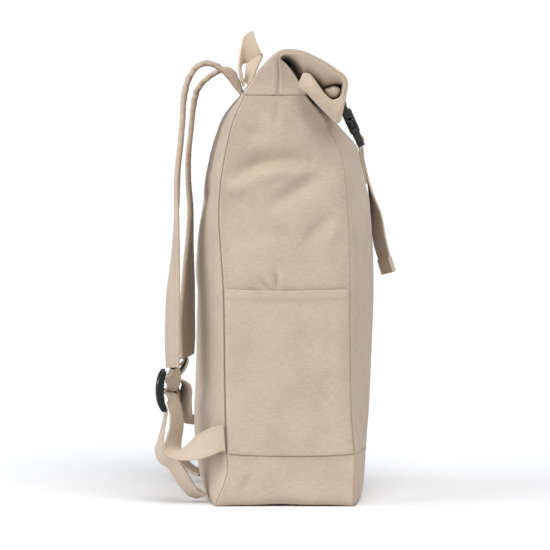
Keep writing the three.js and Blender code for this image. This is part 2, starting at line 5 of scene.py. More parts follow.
import bpy
import numpy as np
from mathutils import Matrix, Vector


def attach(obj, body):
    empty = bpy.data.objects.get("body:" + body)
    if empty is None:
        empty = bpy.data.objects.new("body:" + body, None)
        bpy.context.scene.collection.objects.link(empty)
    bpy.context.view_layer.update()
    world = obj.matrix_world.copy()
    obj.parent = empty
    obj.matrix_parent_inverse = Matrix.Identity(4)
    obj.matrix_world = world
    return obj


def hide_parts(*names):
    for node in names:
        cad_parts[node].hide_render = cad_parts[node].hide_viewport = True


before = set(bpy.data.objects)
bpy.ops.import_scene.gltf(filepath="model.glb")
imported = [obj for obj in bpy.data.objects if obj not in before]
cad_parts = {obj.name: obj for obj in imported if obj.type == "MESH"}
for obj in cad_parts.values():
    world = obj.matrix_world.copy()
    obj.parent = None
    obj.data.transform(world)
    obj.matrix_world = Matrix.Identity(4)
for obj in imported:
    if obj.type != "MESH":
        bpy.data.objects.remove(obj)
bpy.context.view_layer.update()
MM = 0.001
PI = math.pi

# ---------------------------------------------------------------- camera
CAM_DISTANCE, CAM_ELEVATION, CAM_LENS = 5.0, 3.2, 327.27
AIM = Vector((0.0, 0.013, 0.2174))
lens = bpy.data.cameras.new("photo_camera")
lens.lens, lens.sensor_width = CAM_LENS, 36
lens.clip_start, lens.clip_end = 0.1, 9000
camera = bpy.data.objects.new("photo_camera", lens)
elevation = math.radians(CAM_ELEVATION)
camera.location = AIM + CAM_DISTANCE * Vector((-math.cos(elevation), 0, math.sin(elevation)))
camera.rotation_euler = (AIM - camera.location).to_track_quat("-Z", "Y").to_euler()
bpy.context.scene.collection.objects.link(camera)
bpy.context.scene.camera = camera

# ---------------------------------------------------------------- tables
# z, back at mid-width, back corner seam, front corner seam, front at mid-width,
# half-width at the corner seams, bulge of the side panel
BODY = np.array([
    [0, 80, 71, -64, -72, 144, 0],
    [10, 84.5, 68, -64, -75, 145, 0.5],
    [20, 88, 63.5, -64, -76, 145, 1],
    [35, 90.5, 59.5, -65, -77, 145, 1.5],
    [51, 93, 60.6, -65, -78, 145, 2],
    [90, 93.5, 61.6, -62, -81, 146, 3],
    [130, 91.5, 62.3, -61, -83, 146.5, 4],
    [170, 91, 62.7, -60.6, -84.5, 147, 4.5],
    [212, 92, 63.5, -60.5, -85.5, 147, 4.5],
    [250, 91, 66, -60, -84.5, 146.9, 4],
    [285, 87.4, 68, -58.4, -81.5, 147.1, 3],
    [320, 82, 65.6, -56, -74.5, 147.8, 2],
    [345, 76, 61.4, -51, -69, 148.4, 1.5],
    [367, 68, 56.5, -40, -50.6, 149.3, 1],
    [375, 64, 54, -36, -41.5, 149.7, 0.8],
    [387, 56, 49, -27.5, -29, 150.4, 0.5],
    [400, 46, 43, -17.5, -16.5, 151, 0],
], float)
BOW_P, BOW_Q = 2.6, 0.85
BASE_SEAM_Z, BASE_SEAM_SAG, COLLAR_SEAM_Z = 51.0, 2.0, 400.0
POCKET_HEM_Z, POCKET_SLACK, FLOOR_LIFT, CLOTH = 212.0, 2.0, 3.9, 1.6
SEAM_GAP = 0.04

# Folds pressed into a side panel, each along a curve of three points: y and z
# of start, middle and end, width above and below the line, depth (in is +)
SIDE_FOLDS = [
    [56, 316, 26, 346, -32, 331, 17, 6.5, 9.6],
    [30, 321, 6, 330, -22, 325, 8, 12, -4.4],
    [62, 316, 52, 313, 40, 308, 6, 8, -4.4],
    [70, 310, 56, 301, 40, 293, 5, 13, 3.4],
    [-37, 328, -12, 310, 20, 292, 13, 12, 4.3],
    [-30, 333, -6, 320, 14, 305, 8, 8, -1.8],
    [-47, 323, -53, 311, -56, 297, 8, 8, -3.6],
    [-45, 288, -30, 273, -13, 252, 9, 12, 3.3],
    [-50, 276, -45, 266, -39, 255, 7, 7, -3.2],
    [12.8, 231, 12, 220, 10.5, 210, 2.6, 3.4, 3.0],
    [8, 230, 7, 219, 5, 210, 3.2, 4.4, -1.8],
    [29, 223, 24, 216, 18, 211, 3, 3.6, 2.6],
    [48, 235, 40, 223, 33, 214, 4, 5.4, -2.2],
    [54, 371, 36, 362, 18, 357, 10, 11, 3.0],
    [-8, 388, -14, 372, -26, 358, 9, 9, -2.4],
    [34, 270, 8, 260, -14, 266, 17, 13, 2.4],
    [10, 396, 9, 384, 14, 370, 5, 7, 1.8],
    [40, 350, 30, 372, 22, 392, 12, 12, 1.6],
]
# The same on the pocket patch and the base band, much calmer
LOW_FOLDS = [
    [44, 190, 30, 176, 26, 146, 10, 10, 1.0],
    [-40, 186, -44, 150, -38, 114, 8, 10, 1.1],
    [-30, 98, -38, 84, -46, 62, 7, 9, 1.3],
    [22, 118, -4, 104, -24, 110, 14, 14, 0.9],
    [34, 34, 40, 24, 47, 11, 4, 5, 1.7],
    [-24, 34, -30, 22, -38, 11, 5, 6, 1.3],
    [4, 32, -6, 22, -20, 24, 10, 8, 0.8],
    [52, 40, 46, 36, 38, 36, 5, 5, 0.8],
]
# Folds of the back and front panels: x and z of three points, widths, depth
BACK_FOLDS = [
    [-60, 396, -68, 364, -92, 326, 8, 12, 3.4],
    [-44, 396, -48, 366, -58, 336, 7, 9, -1.6],
    [58, 396, 68, 360, 94, 318, 8, 12, 3.4],
    [40, 396, 46, 362, 58, 330, 7, 9, -1.6],
    [-118, 312, -50, 282, 30, 292, 12, 20, 3.6],
    [24, 262, 70, 246, 124, 268, 12, 18, 3.0],
    [-60, 208, 20, 188, 112, 210, 16, 22, 2.8],
    [-124, 130, -76, 98, -16, 104, 14, 16, 2.8],
    [10, 350, 3, 318, 8, 284, 9, 10, 2.2],
    [30, 120, 70, 136, 116, 118, 12, 16, 2.0],
    [120, 92, 98, 76, 84, 58, 7, 9, 2.8],
    [-122, 86, -100, 72, -86, 58, 7, 9, 2.8],
]
FRONT_FOLDS = [
    [-24, 336, -50, 314, -96, 298, 9, 14, 4.6],
    [-20, 322, -44, 296, -74, 276, 10, 14, -1.8],
    [24, 336, 52, 312, 100, 304, 9, 14, 4.2],
    [20, 320, 46, 298, 84, 272, 9, 13, 2.4],
    [-130, 356, -78, 332, -28, 346, 10, 14, 3.4],
    [28, 346, 78, 330, 130, 354, 10, 14, 3.2],
    [-104, 262, -20, 232, 60, 246, 16, 24, 3.0],
    [30, 214, 80, 196, 128, 222, 14, 18, 2.4],
    [-118, 168, -50, 134, 24, 146, 18, 20, 2.8],
    [-128, 92, -104, 76, -90, 58, 7, 10, 2.8],
    [44, 110, 86, 86, 116, 60, 9, 12, 2.8],
    [-10, 96, 6, 76, 2, 58, 9, 9, 1.6],
]

# The collar as pairs of edges in the side view, from its seam over the top,
# down the front and into the tongue: outer y, z, inner y, z, half-width, shift
# of the middle in y and z, pinch of the middle, sag of the inner wall, puff
ROLL = np.array([
    [42.8, 400.45, -17.3, 400.45, 151.0, 0, 0, 0, 0, 0.4],
    [35.8, 411.0, -12.2, 409.4, 153.0, 0, 0, 0, 0, 0.8],
    [27.6, 423.2, -6.6, 418.6, 157.0, 0, -0.5, 0, 0, 0.8],
    [18.6, 433.8, 2.2, 430.2, 162.0, 0, -1.2, 0, 0, 0.6],
    [10.4, 441.0, 7.8, 436.4, 166.0, 0, -2.0, 0, 3, 0.5],
    [2.6, 443.8, 2.8, 440.2, 168.0, 0, -2.6, 0, 8, 0.6],
    [-9.0, 443.4, -8.2, 439.6, 169.0, 0, -3.0, 0, 16, 0.7],
    [-21.2, 440.2, -18.6, 436.8, 169.5, 0.5, -3.0, 0, 18, 0.8],
    [-35.0, 433.4, -31.8, 430.2, 170.0, 1.5, -2.6, 0, 17, 0.8],
    [-46.8, 425.4, -43.4, 421.9, 170.0, 3.0, -1.8, 0, 11, 0.8],
    [-55.2, 418.8, -51.4, 416.4, 170.0, 4.2, -1.0, 0, 6, 0.8],
    [-57.6, 411.6, -53.0, 411.0, 170.0, 4.8, 0, 0, 0, 0.8],
    [-56.4, 402.4, -51.8, 403.6, 170.0, 4.4, 0, 0, 0, 0.8],
    [-54.6, 393.6, -50.6, 400.2, 169.6, 4.4, 0.6, 0.1, 0, 1.6],
    [-52.6, 384.0, -49.2, 398.6, 169.2, 4.4, 2.0, 0.3, 0, 2.6],
    [-49.9, 374.9, -47.0, 397.4, 169.0, 3.6, 3.8, 0.5, 0, 3.4],
    [-45.8, 373.6, -44.8, 396.6, 169.0, 2.4, 4.8, 0.6, 0, 4.0],
    [-41.4, 377.4, -42.0, 396.4, 168.8, 1.2, 4.6, 0.6, 0, 4.5],
    [-34.2, 384.8, -37.0, 400.2, 169.0, 0.8, -3.6, 0.60, 0, 4.9],
    [-25.6, 393.4, -31.4, 407.0, 168.6, 1.2, -3.6, 0.58, 0, 5.0],
    [-17.7, 402.0, -25.8, 415.2, 168.0, 1.6, -3.2, 0.54, 0, 4.6],
    [-11.4, 406.8, -20.6, 420.8, 167.2, 1.2, -2.4, 0.5, 0, 3.0],
    [-9.9, 410.4, -15.0, 422.0, 166.4, 0, 0, 0.4, 0, 2.4],
    [-10.6, 414.4, -13.0, 419.6, 165.4, 0, 0, 0.2, 0, 0.9],
], float)
COIL = dict(y=-43.2, z=403.4, ry=7.0, rz=4.9, half=165.0)
FAR_DROP = 2.6

# x (mirrored for the right), y and z left, y and z right, width, azimuth
STRAP = np.array([
    [44.4, 45.6, 398.6, 45.6, 398.6, 50, 0],
    [45, 48.2, 402.4, 47.8, 403.0, 50, 0],
    [46, 53.0, 409.2, 51.2, 411.4, 51, 0],
    [47.5, 58.4, 416.6, 56.4, 419.2, 52, 0],
    [49, 65.6, 423.6, 63.6, 421.8, 53, 0],
    [50.5, 74.4, 428.4, 71.6, 419.4, 54, 0],
    [52, 83.0, 429.2, 79.4, 414.4, 54, 0],
    [53.5, 91.0, 425.0, 86.0, 408.6, 55, 0],
    [55, 97.2, 416.0, 90.6, 401.8, 55, 0],
    [57, 100.8, 406.0, 93.6, 393.0, 55, 0],
    [60, 103.2, 391.4, 96.0, 379.0, 55, 0],
    [64, 104.2, 372.0, 98.2, 358.0, 55, 0],
    [69, 106.0, 350.0, 100.4, 336.0, 55, 0],
    [76, 108.8, 322.0, 100.6, 309.0, 55, 0],
    [83, 109.6, 292.0, 99.2, 282.0, 55, 0.5],
    [90, 110.2, 262.0, 100.0, 252.0, 54, 3],
    [96, 111.4, 232.0, 101.2, 222.0, 53, 7],
    [102, 112.8, 202.0, 102.4, 192.0, 51, 12],
    [107, 113.2, 172.0, 102.8, 164.0, 48, 15.5],
    [110, 113.2, 150.0, 102.6, 144.0, 45, 16.5],
    [111.5, 113.2, 132.8, 102.6, 128.0, 40, 17],
], float)
STRAP_T = 5.0
WEB_W, WEB_T = 25.0, 1.8

LOCK_X, LOCK_AZ = 112.0, 4.0
LOCK_AT = {"left": (119.4, 130.6), "right": (110.8, 125.8)}
LOCK_RAIL, LOCK_CLEAR = 4.2, 27.0
# distance down, inner face, outer face
LOCK_PROFILE = np.array([
    [0, 0.4, 3.6], [4, 1.2, 6.6], [11, 2.6, 8.8], [20, 3.2, 9.8],
    [29, 2.4, 9.2], [36, 0.8, 7.4], [40, 0.2, 4.6],
], float)
# distance down, distance out, radius
LOCK_BARS = [[2.4, 2.6, 1.5], [14, 5.0, 1.6], [26, 5.0, 1.6], [37.6, 3.6, 1.6]]
LOOP = [
    [-7.8, -0.8, -22], [-8.0, 5, -26], [-7.0, 11, -33], [-4.2, 16.6, -36],
    [0.4, 19.2, -24], [4.8, 18.6, -8], [7.0, 15.6, 2], [6.8, 12.0, 4],
    [4.4, 9.6, 5], [1.2, 7.6, 5], [-2.2, 5.2, 5], [-4.4, 2.6, 5], [-5.2, -0.8, 5],
]
# the same on the far lock, drawn in more tightly
LOOP_FAR = [
    [-7.8, -0.8, -22], [-6.9, 4, -26], [-4.6, 8.8, -30], [-1.4, 13.4, -32],
    [2.2, 16.7, -24], [5.6, 17.3, -8], [7.6, 15.2, 2], [6.8, 12.0, 4],
    [4.4, 9.6, 5], [1.2, 7.6, 5], [-2.2, 5.2, 5], [-4.4, 2.6, 5], [-5.2, -0.8, 5],
]
LOWER = [
    [146.8, 62.2, 66.6, 62.2, 73.6, 0, 90],
    [146.8, 69.0, 65.8, 69.0, 72.8, 0, 88],
    [145.4, 78.0, 61.6, 77.0, 70.4, -4, 83],
    [142.0, 87.0, 57.6, 85.0, 67.6, -12, 72],
    [136.0, 95.6, 54.4, 92.0, 65.6, -26, 52],
    [128.0, 103.6, 52.2, 98.0, 64.6, -38, 32],
    [121.0, 109.6, 51.6, 102.4, 65.0, -42, 14],
    [116.4, 112.8, 54.8, 104.8, 68.4, -36, 4],
    [114.0, 112.0, 62.4, 105.0, 75.0, -34, 0],
    [113.0, 109.6, 74.0, 104.6, 83.0, -30, 0],
    [112.6, 109.6, 88.0, 104.2, 89.4, -28, 0],
]
THROUGH = [
    [-7.0, 31.4, -27], [-5.0, 26.0, -20], [0.0, 21.8, -6], [4.6, 21.0, 2],
    [6.8, 22.8, 4], [7.1, 26.4, 4], [6.2, 29.8, 4], [3.4, 32.2, 4],
    [0.8, 35.6, 5], [0.2, 41.0, 6],
]
TAIL = [
    [112.0, 121.4, 77.0, 113.4, 70.0, 6, 0],
    [111.2, 124.8, 61.0, 117.0, 56.0, 12, -3],
    [110.4, 125.8, 50.4, 118.4, 44.0, 20, -8],
    [109.6, 121.4, 42.8, 115.6, 36.0, 26, -18],
    [108.2, 113.0, 37.8, 111.6, 29.0, 27, -24],
    [106.4, 106.6, 28.6, 106.6, 21.4, 26, -25],
    [104.0, 100.8, 19.0, 100.0, 14.6, 23, -25],
    [101.6, 93.8, 10.4, 93.6, 10.4, 16, -22],
    [99.0, 84.4, 5.6, 87.0, 8.0, 7, -16],
]
# x, y, z, azimuth and rise of the width
HANDLE = [
    [-34, 43.8, 407.2, -3, 0],
    [-34.6, 46.2, 416, -3, 0],
    [-34.4, 47.6, 424.6, -4, -2],
    [-32.8, 46.8, 432.4, -8, -6],
    [-28.4, 44.6, 439.2, -16, -17],
    [-17, 40.2, 444.4, -38, -46],
    [-8, 35.4, 448.2, -66, -64],
    [0, 32.2, 449.2, -90, -72],
    [9, 31.4, 447.4, -112, -62],
    [18, 32.4, 442.8, -138, -38],
    [26, 34.8, 435.5, -150, -14],
    [31, 36.4, 427, -155, -4],
    [33.5, 38.6, 417, -160, 0],
    [34.6, 41.6, 408.4, -170, 0],
]
BUCKLE_TOP, BUCKLE_TILT = (-53.5, 390.6), 24.5
FEMALE_LEN, MALE_LEN = 34.0, 14.0
ROLL_WEB = [
    [-48.6, 421.6], [-52.4, 416.4], [-54.1, 410.6], [-54.4, 404.6], [-54.9, 399.0],
    [-55.9, 393.6], [-57.3, 389.8], [-57.2, 386.6], [-55.2, 385.2],
    [-52.8, 386.0], [-51.6, 388.8], [-52.0, 393.0], [-52.3, 398.0], [-52.3, 403.0],
]
ANCHOR = [[-78.5, 309.0], [-76.1, 320.0], [-74.0, 330.0], [-72.5, 338.0]]
OVER_BAR = [
    [-3.0, 16.4], [-3.0, 9.6], [-1.8, 5.8], [1.0, 4.6], [3.8, 5.6], [4.2, 8.2],
    [3.0, 10.2], [0.5, 11.0], [-0.5, 12.4], [-0.5, 14.0], [-0.5, 17.0],
]
FREE_TAIL = [
    [0, -75.0, 336.0, 0], [0, -76.6, 327.6, 0], [0, -80.3, 311.6, 1],
    [0.6, -84.8, 292.5, 12], [1.2, -89.4, 270.5, 24], [1.4, -92.2, 252.5, 30],
    [1.4, -94.4, 241.0, 30], [1.2, -97.0, 231.6, 28],
]
TAIL_HEM = [[1.2, -96.2, 234.0, 28], [1.0, -98.6, 226.4, 28], [0.8, -100.8, 219.4, 28]]


# ---------------------------------------------------------------- helpers
def catmull(table, t):
    table = np.asarray(table, float)
    n = len(table) - 1
    t = np.clip(np.asarray(t, float), 0, n)
    i = np.minimum(np.floor(t).astype(int), n - 1)
    f = (t - i)[..., None]
    a, b = table[np.maximum(i - 1, 0)], table[i]
    c, d = table[i + 1], table[np.minimum(i + 2, n)]
    return 0.5 * (2 * b + (c - a) * f + (2 * a - 5 * b + 4 * c - d) * f**2
                  + (3 * b - a - 3 * c + d) * f**3)


def dense(table, per):
    return catmull(table, np.linspace(0, len(table) - 1, (len(table) - 1) * per + 1))


_z = np.arange(0, 400.01, 0.5)
_t = np.interp(_z, BODY[:, 0], np.arange(len(BODY)))
_body = catmull(BODY, _t)


def body_at(z):
    return [np.interp(z, _z, _body[:, k]) for k in range(1, 7)]


def bow(s):
    return np.power(np.clip(1 - np.abs(s) ** BOW_P, 0, 1), BOW_Q)


_lattice = np.random.RandomState(11).rand(96, 96)


def noise2(p, q, seed=0):
    p, q = p + 13.7 * seed, q + 7.3 * seed
    i, j = np.floor(p).astype(int), np.floor(q).astype(int)
    f, g = p - i, q - j
    f, g = f * f * (3 - 2 * f), g * g * (3 - 2 * g)
    at = lambda a, b: _lattice[a % 96, b % 96]
    low = at(i, j) * (1 - f) + at(i + 1, j) * f
    high = at(i, j + 1) * (1 - f) + at(i + 1, j + 1) * f
    return 2 * (low * (1 - g) + high * g) - 1


def rumple(p, q, seed=0):
    """Soft unevenness of cloth, about -1 to 1, p and q in mm."""
    return (0.6 * noise2(p / 52, q / 60, seed) + 0.28 * noise2(p / 23, q / 27, seed + 1)
            + 0.12 * noise2(p / 10, q / 11, seed + 2))


def folds(table, p, q):
    """Sum of the folds in a table at (p, q): a rounded valley or ridge along
    each curve, with its own width on either side."""
    total = np.zeros_like(p)
    for p0, q0, p1, q1, p2, q2, up, down, depth in table:
        t = np.linspace(0, 1, 25)
        cp = (1 - t) ** 2 * p0 + 2 * t * (1 - t) * p1 + t**2 * p2
        cq = (1 - t) ** 2 * q0 + 2 * t * (1 - t) * q1 + t**2 * q2
        d2 = (p[..., None] - cp) ** 2 + (q[..., None] - cq) ** 2
        k = np.argmin(d2, axis=-1)
        near = np.sqrt(np.min(d2, axis=-1))
        tp = np.gradient(cp)[k]
        tq = np.gradient(cq)[k]
        flip = 1 if abs(p2 - p0) < abs(q2 - q0) * 0.5 else (1 if p2 > p0 else -1)
        side = ((q - cq[k]) * tp - (p - cp[k]) * tq) * flip
        width = np.where(side > 0, up, down)
        ends = np.sin(np.clip(t[k] * PI, 0.12, PI - 0.12)) ** 0.6
        r = np.sqrt((near / width) ** 2 + 0.05) - 0.2236
        total += depth * ends * np.exp(-1.9 * r**1.25)
    return total


def signed_volume(v, quads):
    a, b, c, d = (v[quads[:, k]] for k in range(4))
    return (np.einsum("ij,ij->i", a, np.cross(b, c)).sum()
            + np.einsum("ij,ij->i", a, np.cross(c, d)).sum())


def make(name, verts, faces, material, uv=None, seam=None, smooth=50, nodes=(), slot=None):
    """A mesh object in metres from points in mm. faces is a list of index lists."""
    verts = np.asarray(verts, float)
    quads = np.array([[f[0], f[1], f[2], f[3] if len(f) > 3 else f[2]] for f in faces])
    if signed_volume(verts, quads) < 0:
        faces = [list(reversed(f)) for f in faces]
    mesh = bpy.data.meshes.new(name)
    mesh.from_pydata((verts * MM).tolist(), [], [list(map(int, f)) for f in faces])
    mesh.validate()
    if uv is not None:
        layer = mesh.uv_layers.new(name="cloth")
        index = np.empty(len(mesh.loops), int)
        mesh.loops.foreach_get("vertex_index", index)
        layer.data.foreach_set("uv", (np.asarray(uv)[index] * MM).ravel())
    attribute = mesh.attributes.new("seam", "FLOAT", "POINT")
    attribute.data.foreach_set("value", np.zeros(len(verts)) if seam is None else np.asarray(seam, float).ravel())
    mesh.shade_smooth()
    mesh.set_sharp_from_angle(angle=math.radians(smooth))
    mesh.materials.append(material)
    mesh.update()
    obj = bpy.data.objects.new(name, mesh)
    bpy.context.scene.collection.objects.link(obj)
    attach(obj, "root")
    if nodes:
        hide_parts(*nodes)
    return obj


def merge(parts):
    """Joins several (verts, faces, uv, seam) into one."""
    verts, faces, uvs, seams, n = [], [], [], [], 0
    for v, f, uv, seam in parts:
        verts.append(v)
        faces += [[i + n for i in face] for face in f]
        uvs.append(uv if uv is not None else np.zeros((len(v), 2)))
        seams.append(seam if seam is not None else np.zeros(len(v)))
        n += len(v)
    return np.vstack(verts), faces, np.vstack(uvs), np.concatenate(seams)


def wall(outer, inner, uv, seam=None):
    """A thin cloth wall between two grids of points (rows, columns, 3)."""
    nv, nu = outer.shape[:2]
    verts = np.vstack([outer.reshape(-1, 3), inner.reshape(-1, 3)])
    n = nv * nu
    idx = np.arange(n).reshape(nv, nu)
    a, b, c, d = idx[:-1, :-1], idx[:-1, 1:], idx[1:, 1:], idx[1:, :-1]
    face = np.stack([a, b, c, d], -1).reshape(-1, 4)
    back = face[:, ::-1] + n
    rim = []
    edge = np.concatenate([idx[0, :-1], idx[:-1, -1], idx[-1, :0:-1], idx[:0:-1, 0]])
    nxt = np.roll(edge, -1)
    rim = np.stack([nxt, edge, edge + n, nxt + n], -1)
    faces = np.vstack([face, back, rim]).tolist()
    uv = uv.reshape(-1, 2)
    seam = np.zeros(n) if seam is None else seam.reshape(-1)
    return verts, faces, np.vstack([uv, uv]), np.concatenate([seam, seam])


def tube(rings, loop=False, uv=None, seam=None):
    """Rings (m, n, 3) joined; loop joins the last ring to the first."""
    m, n = rings.shape[:2]
    verts = rings.reshape(-1, 3)
    i = np.arange(m if loop else m - 1)[:, None]
    k = np.arange(n)[None, :]
    a = i * n + k
    b = i * n + (k + 1) % n
    c = ((i + 1) % m) * n + (k + 1) % n
    d = ((i + 1) % m) * n + k
    faces = np.stack([a, b, c, d], -1).reshape(-1, 4).tolist()
    if uv is None:
        uv = np.zeros((m * n, 2))
    if seam is None:
        seam = np.zeros(m * n)
    uv, seam = uv.reshape(-1, 2), seam.reshape(-1)
    if not loop:
        centre = np.array([rings[0].mean(0), rings[-1].mean(0)])
        verts = np.vstack([verts, centre])
        uv = np.vstack([uv, uv[:1], uv[-1:]])
        seam = np.concatenate([seam, seam[:1], seam[-1:]])
        for k in range(n):
            faces.append([(k + 1) % n, k, m * n])
            faces.append([(m - 1) * n + k, (m - 1) * n + (k + 1) % n, m * n + 1])
    return verts, faces, uv, seam


def unit(v):
    return v / np.maximum(np.linalg.norm(v, axis=-1, keepdims=True), 1e-9)


def across(az, rise=0.0):
    a, r = np.radians(az), np.radians(rise)
    return np.stack([np.cos(r) * np.cos(a), np.cos(r) * np.sin(a), np.sin(r) + 0 * a], -1)


def frames(points, wide):
    t = unit(np.gradient(points, axis=0))
    w = unit(wide - t * np.sum(wide * t, -1, keepdims=True))
    return t, w, np.cross(t, w)


def arc(points):
    return np.concatenate([[0], np.cumsum(np.linalg.norm(np.diff(points, axis=0), axis=1))])


def ribbon(points, wide, width, thick, padded=False, seed=0, ripple=None):
    """A band swept along points. Its section is a flat strip with rounded,
    slightly thicker woven edges, or a padded strap with a sewn channel near
    each edge. Returns (verts, faces, uv, seam) and the length along it."""
    m = len(points)
    width = np.broadcast_to(width, (m,)).astype(float)
    thick = np.broadcast_to(thick, (m,)).astype(float)
    t, w, n = frames(points, wide)
    length = arc(points)
    half = width / 2
    if padded:
        from_edge = np.array([0, 0.35, 0.9, 1.7, 2.6, 3.2, 3.7, 4.2, 4.9, 6.2, 9, 13, 18])
    else:
        from_edge = np.array([0, 0.22, 0.6, 1.2, 2.2, 4.2, 7.6])
    u = np.concatenate([-1 + from_edge / 12.5, [0], (1 - from_edge / 12.5)[::-1]]) if not padded else None
    rows = []
    for sign in (1, -1):
        if padded:
            e = from_edge[None, :] * np.ones((m, 1))
            left, right = -half[:, None] + e, (half[:, None] - e)[:, ::-1]
            pos = np.concatenate([left, np.zeros((m, 1)), right], 1)
            edge = half[:, None] - np.abs(pos)
            h = 0.5 * thick[:, None] * (0.42 + 0.58 * (1 - np.exp(-edge / 1.1)))
            h -= 0.62 * np.exp(-((edge - 3.7) / 0.62) ** 2)
            h += 0.12 * rumple(pos + 31 * sign, length[:, None] + 0 * pos, seed + sign + 2)
        else:
            pos = u[None, :] * half[:, None]
            edge = half[:, None] - np.abs(pos)
            h = 0.5 * thick[:, None] * (0.55 + 0.45 * np.clip(edge / 0.5, 0, 1) ** 0.5)
            h += 0.1 * np.exp(-((edge - 0.9) / 0.6) ** 2)
        if sign < 0:
            pos, h, edge = pos[:, ::-1], h[:, ::-1], edge[:, ::-1]
        shift = np.zeros_like(pos)
        if ripple is not None:
            shift = ripple(length[:, None] + 0 * pos, pos / half[:, None])
        rows.append((pos, sign * h + shift, edge))
    pos = np.concatenate([r[0] for r in rows], 1)
    up = np.concatenate([r[1] for r in rows], 1)
    edge = np.concatenate([r[2] for r in rows], 1)
    pts = points[:, None, :] + w[:, None, :] * pos[..., None] + n[:, None, :] * up[..., None]
    uv = np.stack([pos + half[:, None], length[:, None] + 0 * pos], -1)
    # Darkness for the materials: on a padded strap, painted shade in each sewn channel; on flat tape, darker at the
    # very edges and along a woven line 2 mm in.
    if padded:
        seam = 0.34 * np.exp(-((edge - 3.7) / 0.6) ** 2)
    else:
        seam = 0.12 * np.exp(-edge / 0.4) + 0.25 * np.exp(-((edge - 2.0) / 0.45) ** 2)
    return tube(pts, uv=uv, seam=seam), length


def stitches(lines, pitch=3.3, long=2.3, thick=0.34):
    """Topstitching: small thread capsules along lines of (points, normals)."""
    prof = [(-1, 0.0), (-0.8, 0.62), (-0.25, 1.0), (0.25, 1.0), (0.8, 0.62), (1, 0.0)]
    ang = np.linspace(0, 2 * PI, 6, endpoint=False)
    verts, faces, n = [], [], 0
    for pts, nor in lines:
        length = arc(pts)
        if length[-1] < pitch:
            continue
        count = int(length[-1] // pitch)
        at = (np.arange(count) + 0.5) * (length[-1] / count)
        p = np.stack([np.interp(at, length, pts[:, k]) for k in range(3)], -1)
        q = np.stack([np.interp(at + 0.5, length, pts[:, k]) - np.interp(at - 0.5, length, pts[:, k]) for k in range(3)], -1)
        d = unit(q)
        u = unit(np.stack([np.interp(at, length, nor[:, k]) for k in range(3)], -1))
        s = unit(np.cross(d, u))
        for i in range(count):
            base = n
            for a, r in prof[1:-1]:
                for g in ang:
                    verts.append(p[i] + d[i] * a * long / 2 + (s[i] * math.cos(g) * 1.15 + u[i] * math.sin(g) * 0.8) * r * thick)
            verts.append(p[i] - d[i] * long / 2 - u[i] * thick * 0.5)
            verts.append(p[i] + d[i] * long / 2 - u[i] * thick * 0.5)
            for r in range(3):
                for k in range(6):
                    faces.append([base + r * 6 + k, base + r * 6 + (k + 1) % 6, base + (r + 1) * 6 + (k + 1) % 6, base + (r + 1) * 6 + k])
            for k in range(6):
                faces.append([base + (k + 1) % 6, base + k, base + 24])
                faces.append([base + 18 + k, base + 18 + (k + 1) % 6, base + 25])
            n += 26
    return np.array(verts), faces, np.zeros((len(verts), 2)), np.zeros(len(verts))


# ---------------------------------------------------------------- materials
def nodes_of(name):
    mat = bpy.data.materials.new(name)
    mat.use_nodes = True
    tree = mat.node_tree
    tree.nodes.clear()
    out = tree.nodes.new("ShaderNodeOutputMaterial")
    shader = tree.nodes.new("ShaderNodeBsdfPrincipled")
    tree.links.new(shader.outputs[0], out.inputs[0])
    return mat, tree, shader


class Net:
    """Short hand for wiring a material."""

    def __init__(self, tree):
        self.t = tree

    def put(self, socket, value):
        if hasattr(value, "links") or hasattr(value, "is_linked"):
            self.t.links.new(value, socket)
        else:
            socket.default_value = value

    def math(self, op, a, b=0.0, c=0.0):
        n = self.t.nodes.new("ShaderNodeMath")
        n.operation = op
        for s, v in zip(n.inputs, (a, b, c)):
            self.put(s, v)
        return n.outputs[0]

    def noise(self, vector, scale, detail=2.0, rough=0.5):
        n = self.t.nodes.new("ShaderNodeTexNoise")
        self.put(n.inputs["Vector"], vector)
        n.inputs["Scale"].default_value = scale
        n.inputs["Detail"].default_value = detail
        n.inputs["Roughness"].default_value = rough
        return n.outputs["Fac"]

    def stretch(self, vector, scale):
        n = self.t.nodes.new("ShaderNodeMapping")
        self.put(n.inputs["Vector"], vector)
        n.inputs["Scale"].default_value = scale
        return n.outputs[0]

    def coords(self, kind="UV"):
        return self.t.nodes.new("ShaderNodeTexCoord").outputs[kind]

    def split(self, vector):
        n = self.t.nodes.new("ShaderNodeSeparateXYZ")
        self.put(n.inputs[0], vector)
        return n.outputs

    def mix(self, fac, a, b, mode="MIX"):
        n = self.t.nodes.new("ShaderNodeMix")
        n.data_type = "RGBA"
        n.blend_type = mode
        self.put(n.inputs[0], fac)
        self.put(n.inputs[6], a)
        self.put(n.inputs[7], b)
        return n.outputs[2]

    def attribute(self, name):
        n = self.t.nodes.new("ShaderNodeAttribute")
        n.attribute_name = name
        return n.outputs["Fac"]

    def ramp(self, value, low, high):
        n = self.t.nodes.new("ShaderNodeMapRange")
        self.put(n.inputs[0], value)
        n.inputs[1].default_value, n.inputs[2].default_value = low, high
        return n.outputs[0]

    def bump(self, height, strength, distance):
        n = self.t.nodes.new("ShaderNodeBump")
        n.inputs["Strength"].default_value = strength
        n.inputs["Distance"].default_value = distance
        self.put(n.inputs["Height"], height)
        return n.outputs[0]


def shade(rgb, k):
    return (rgb[0] * k, rgb[1] * k, rgb[2] * k, 1.0)


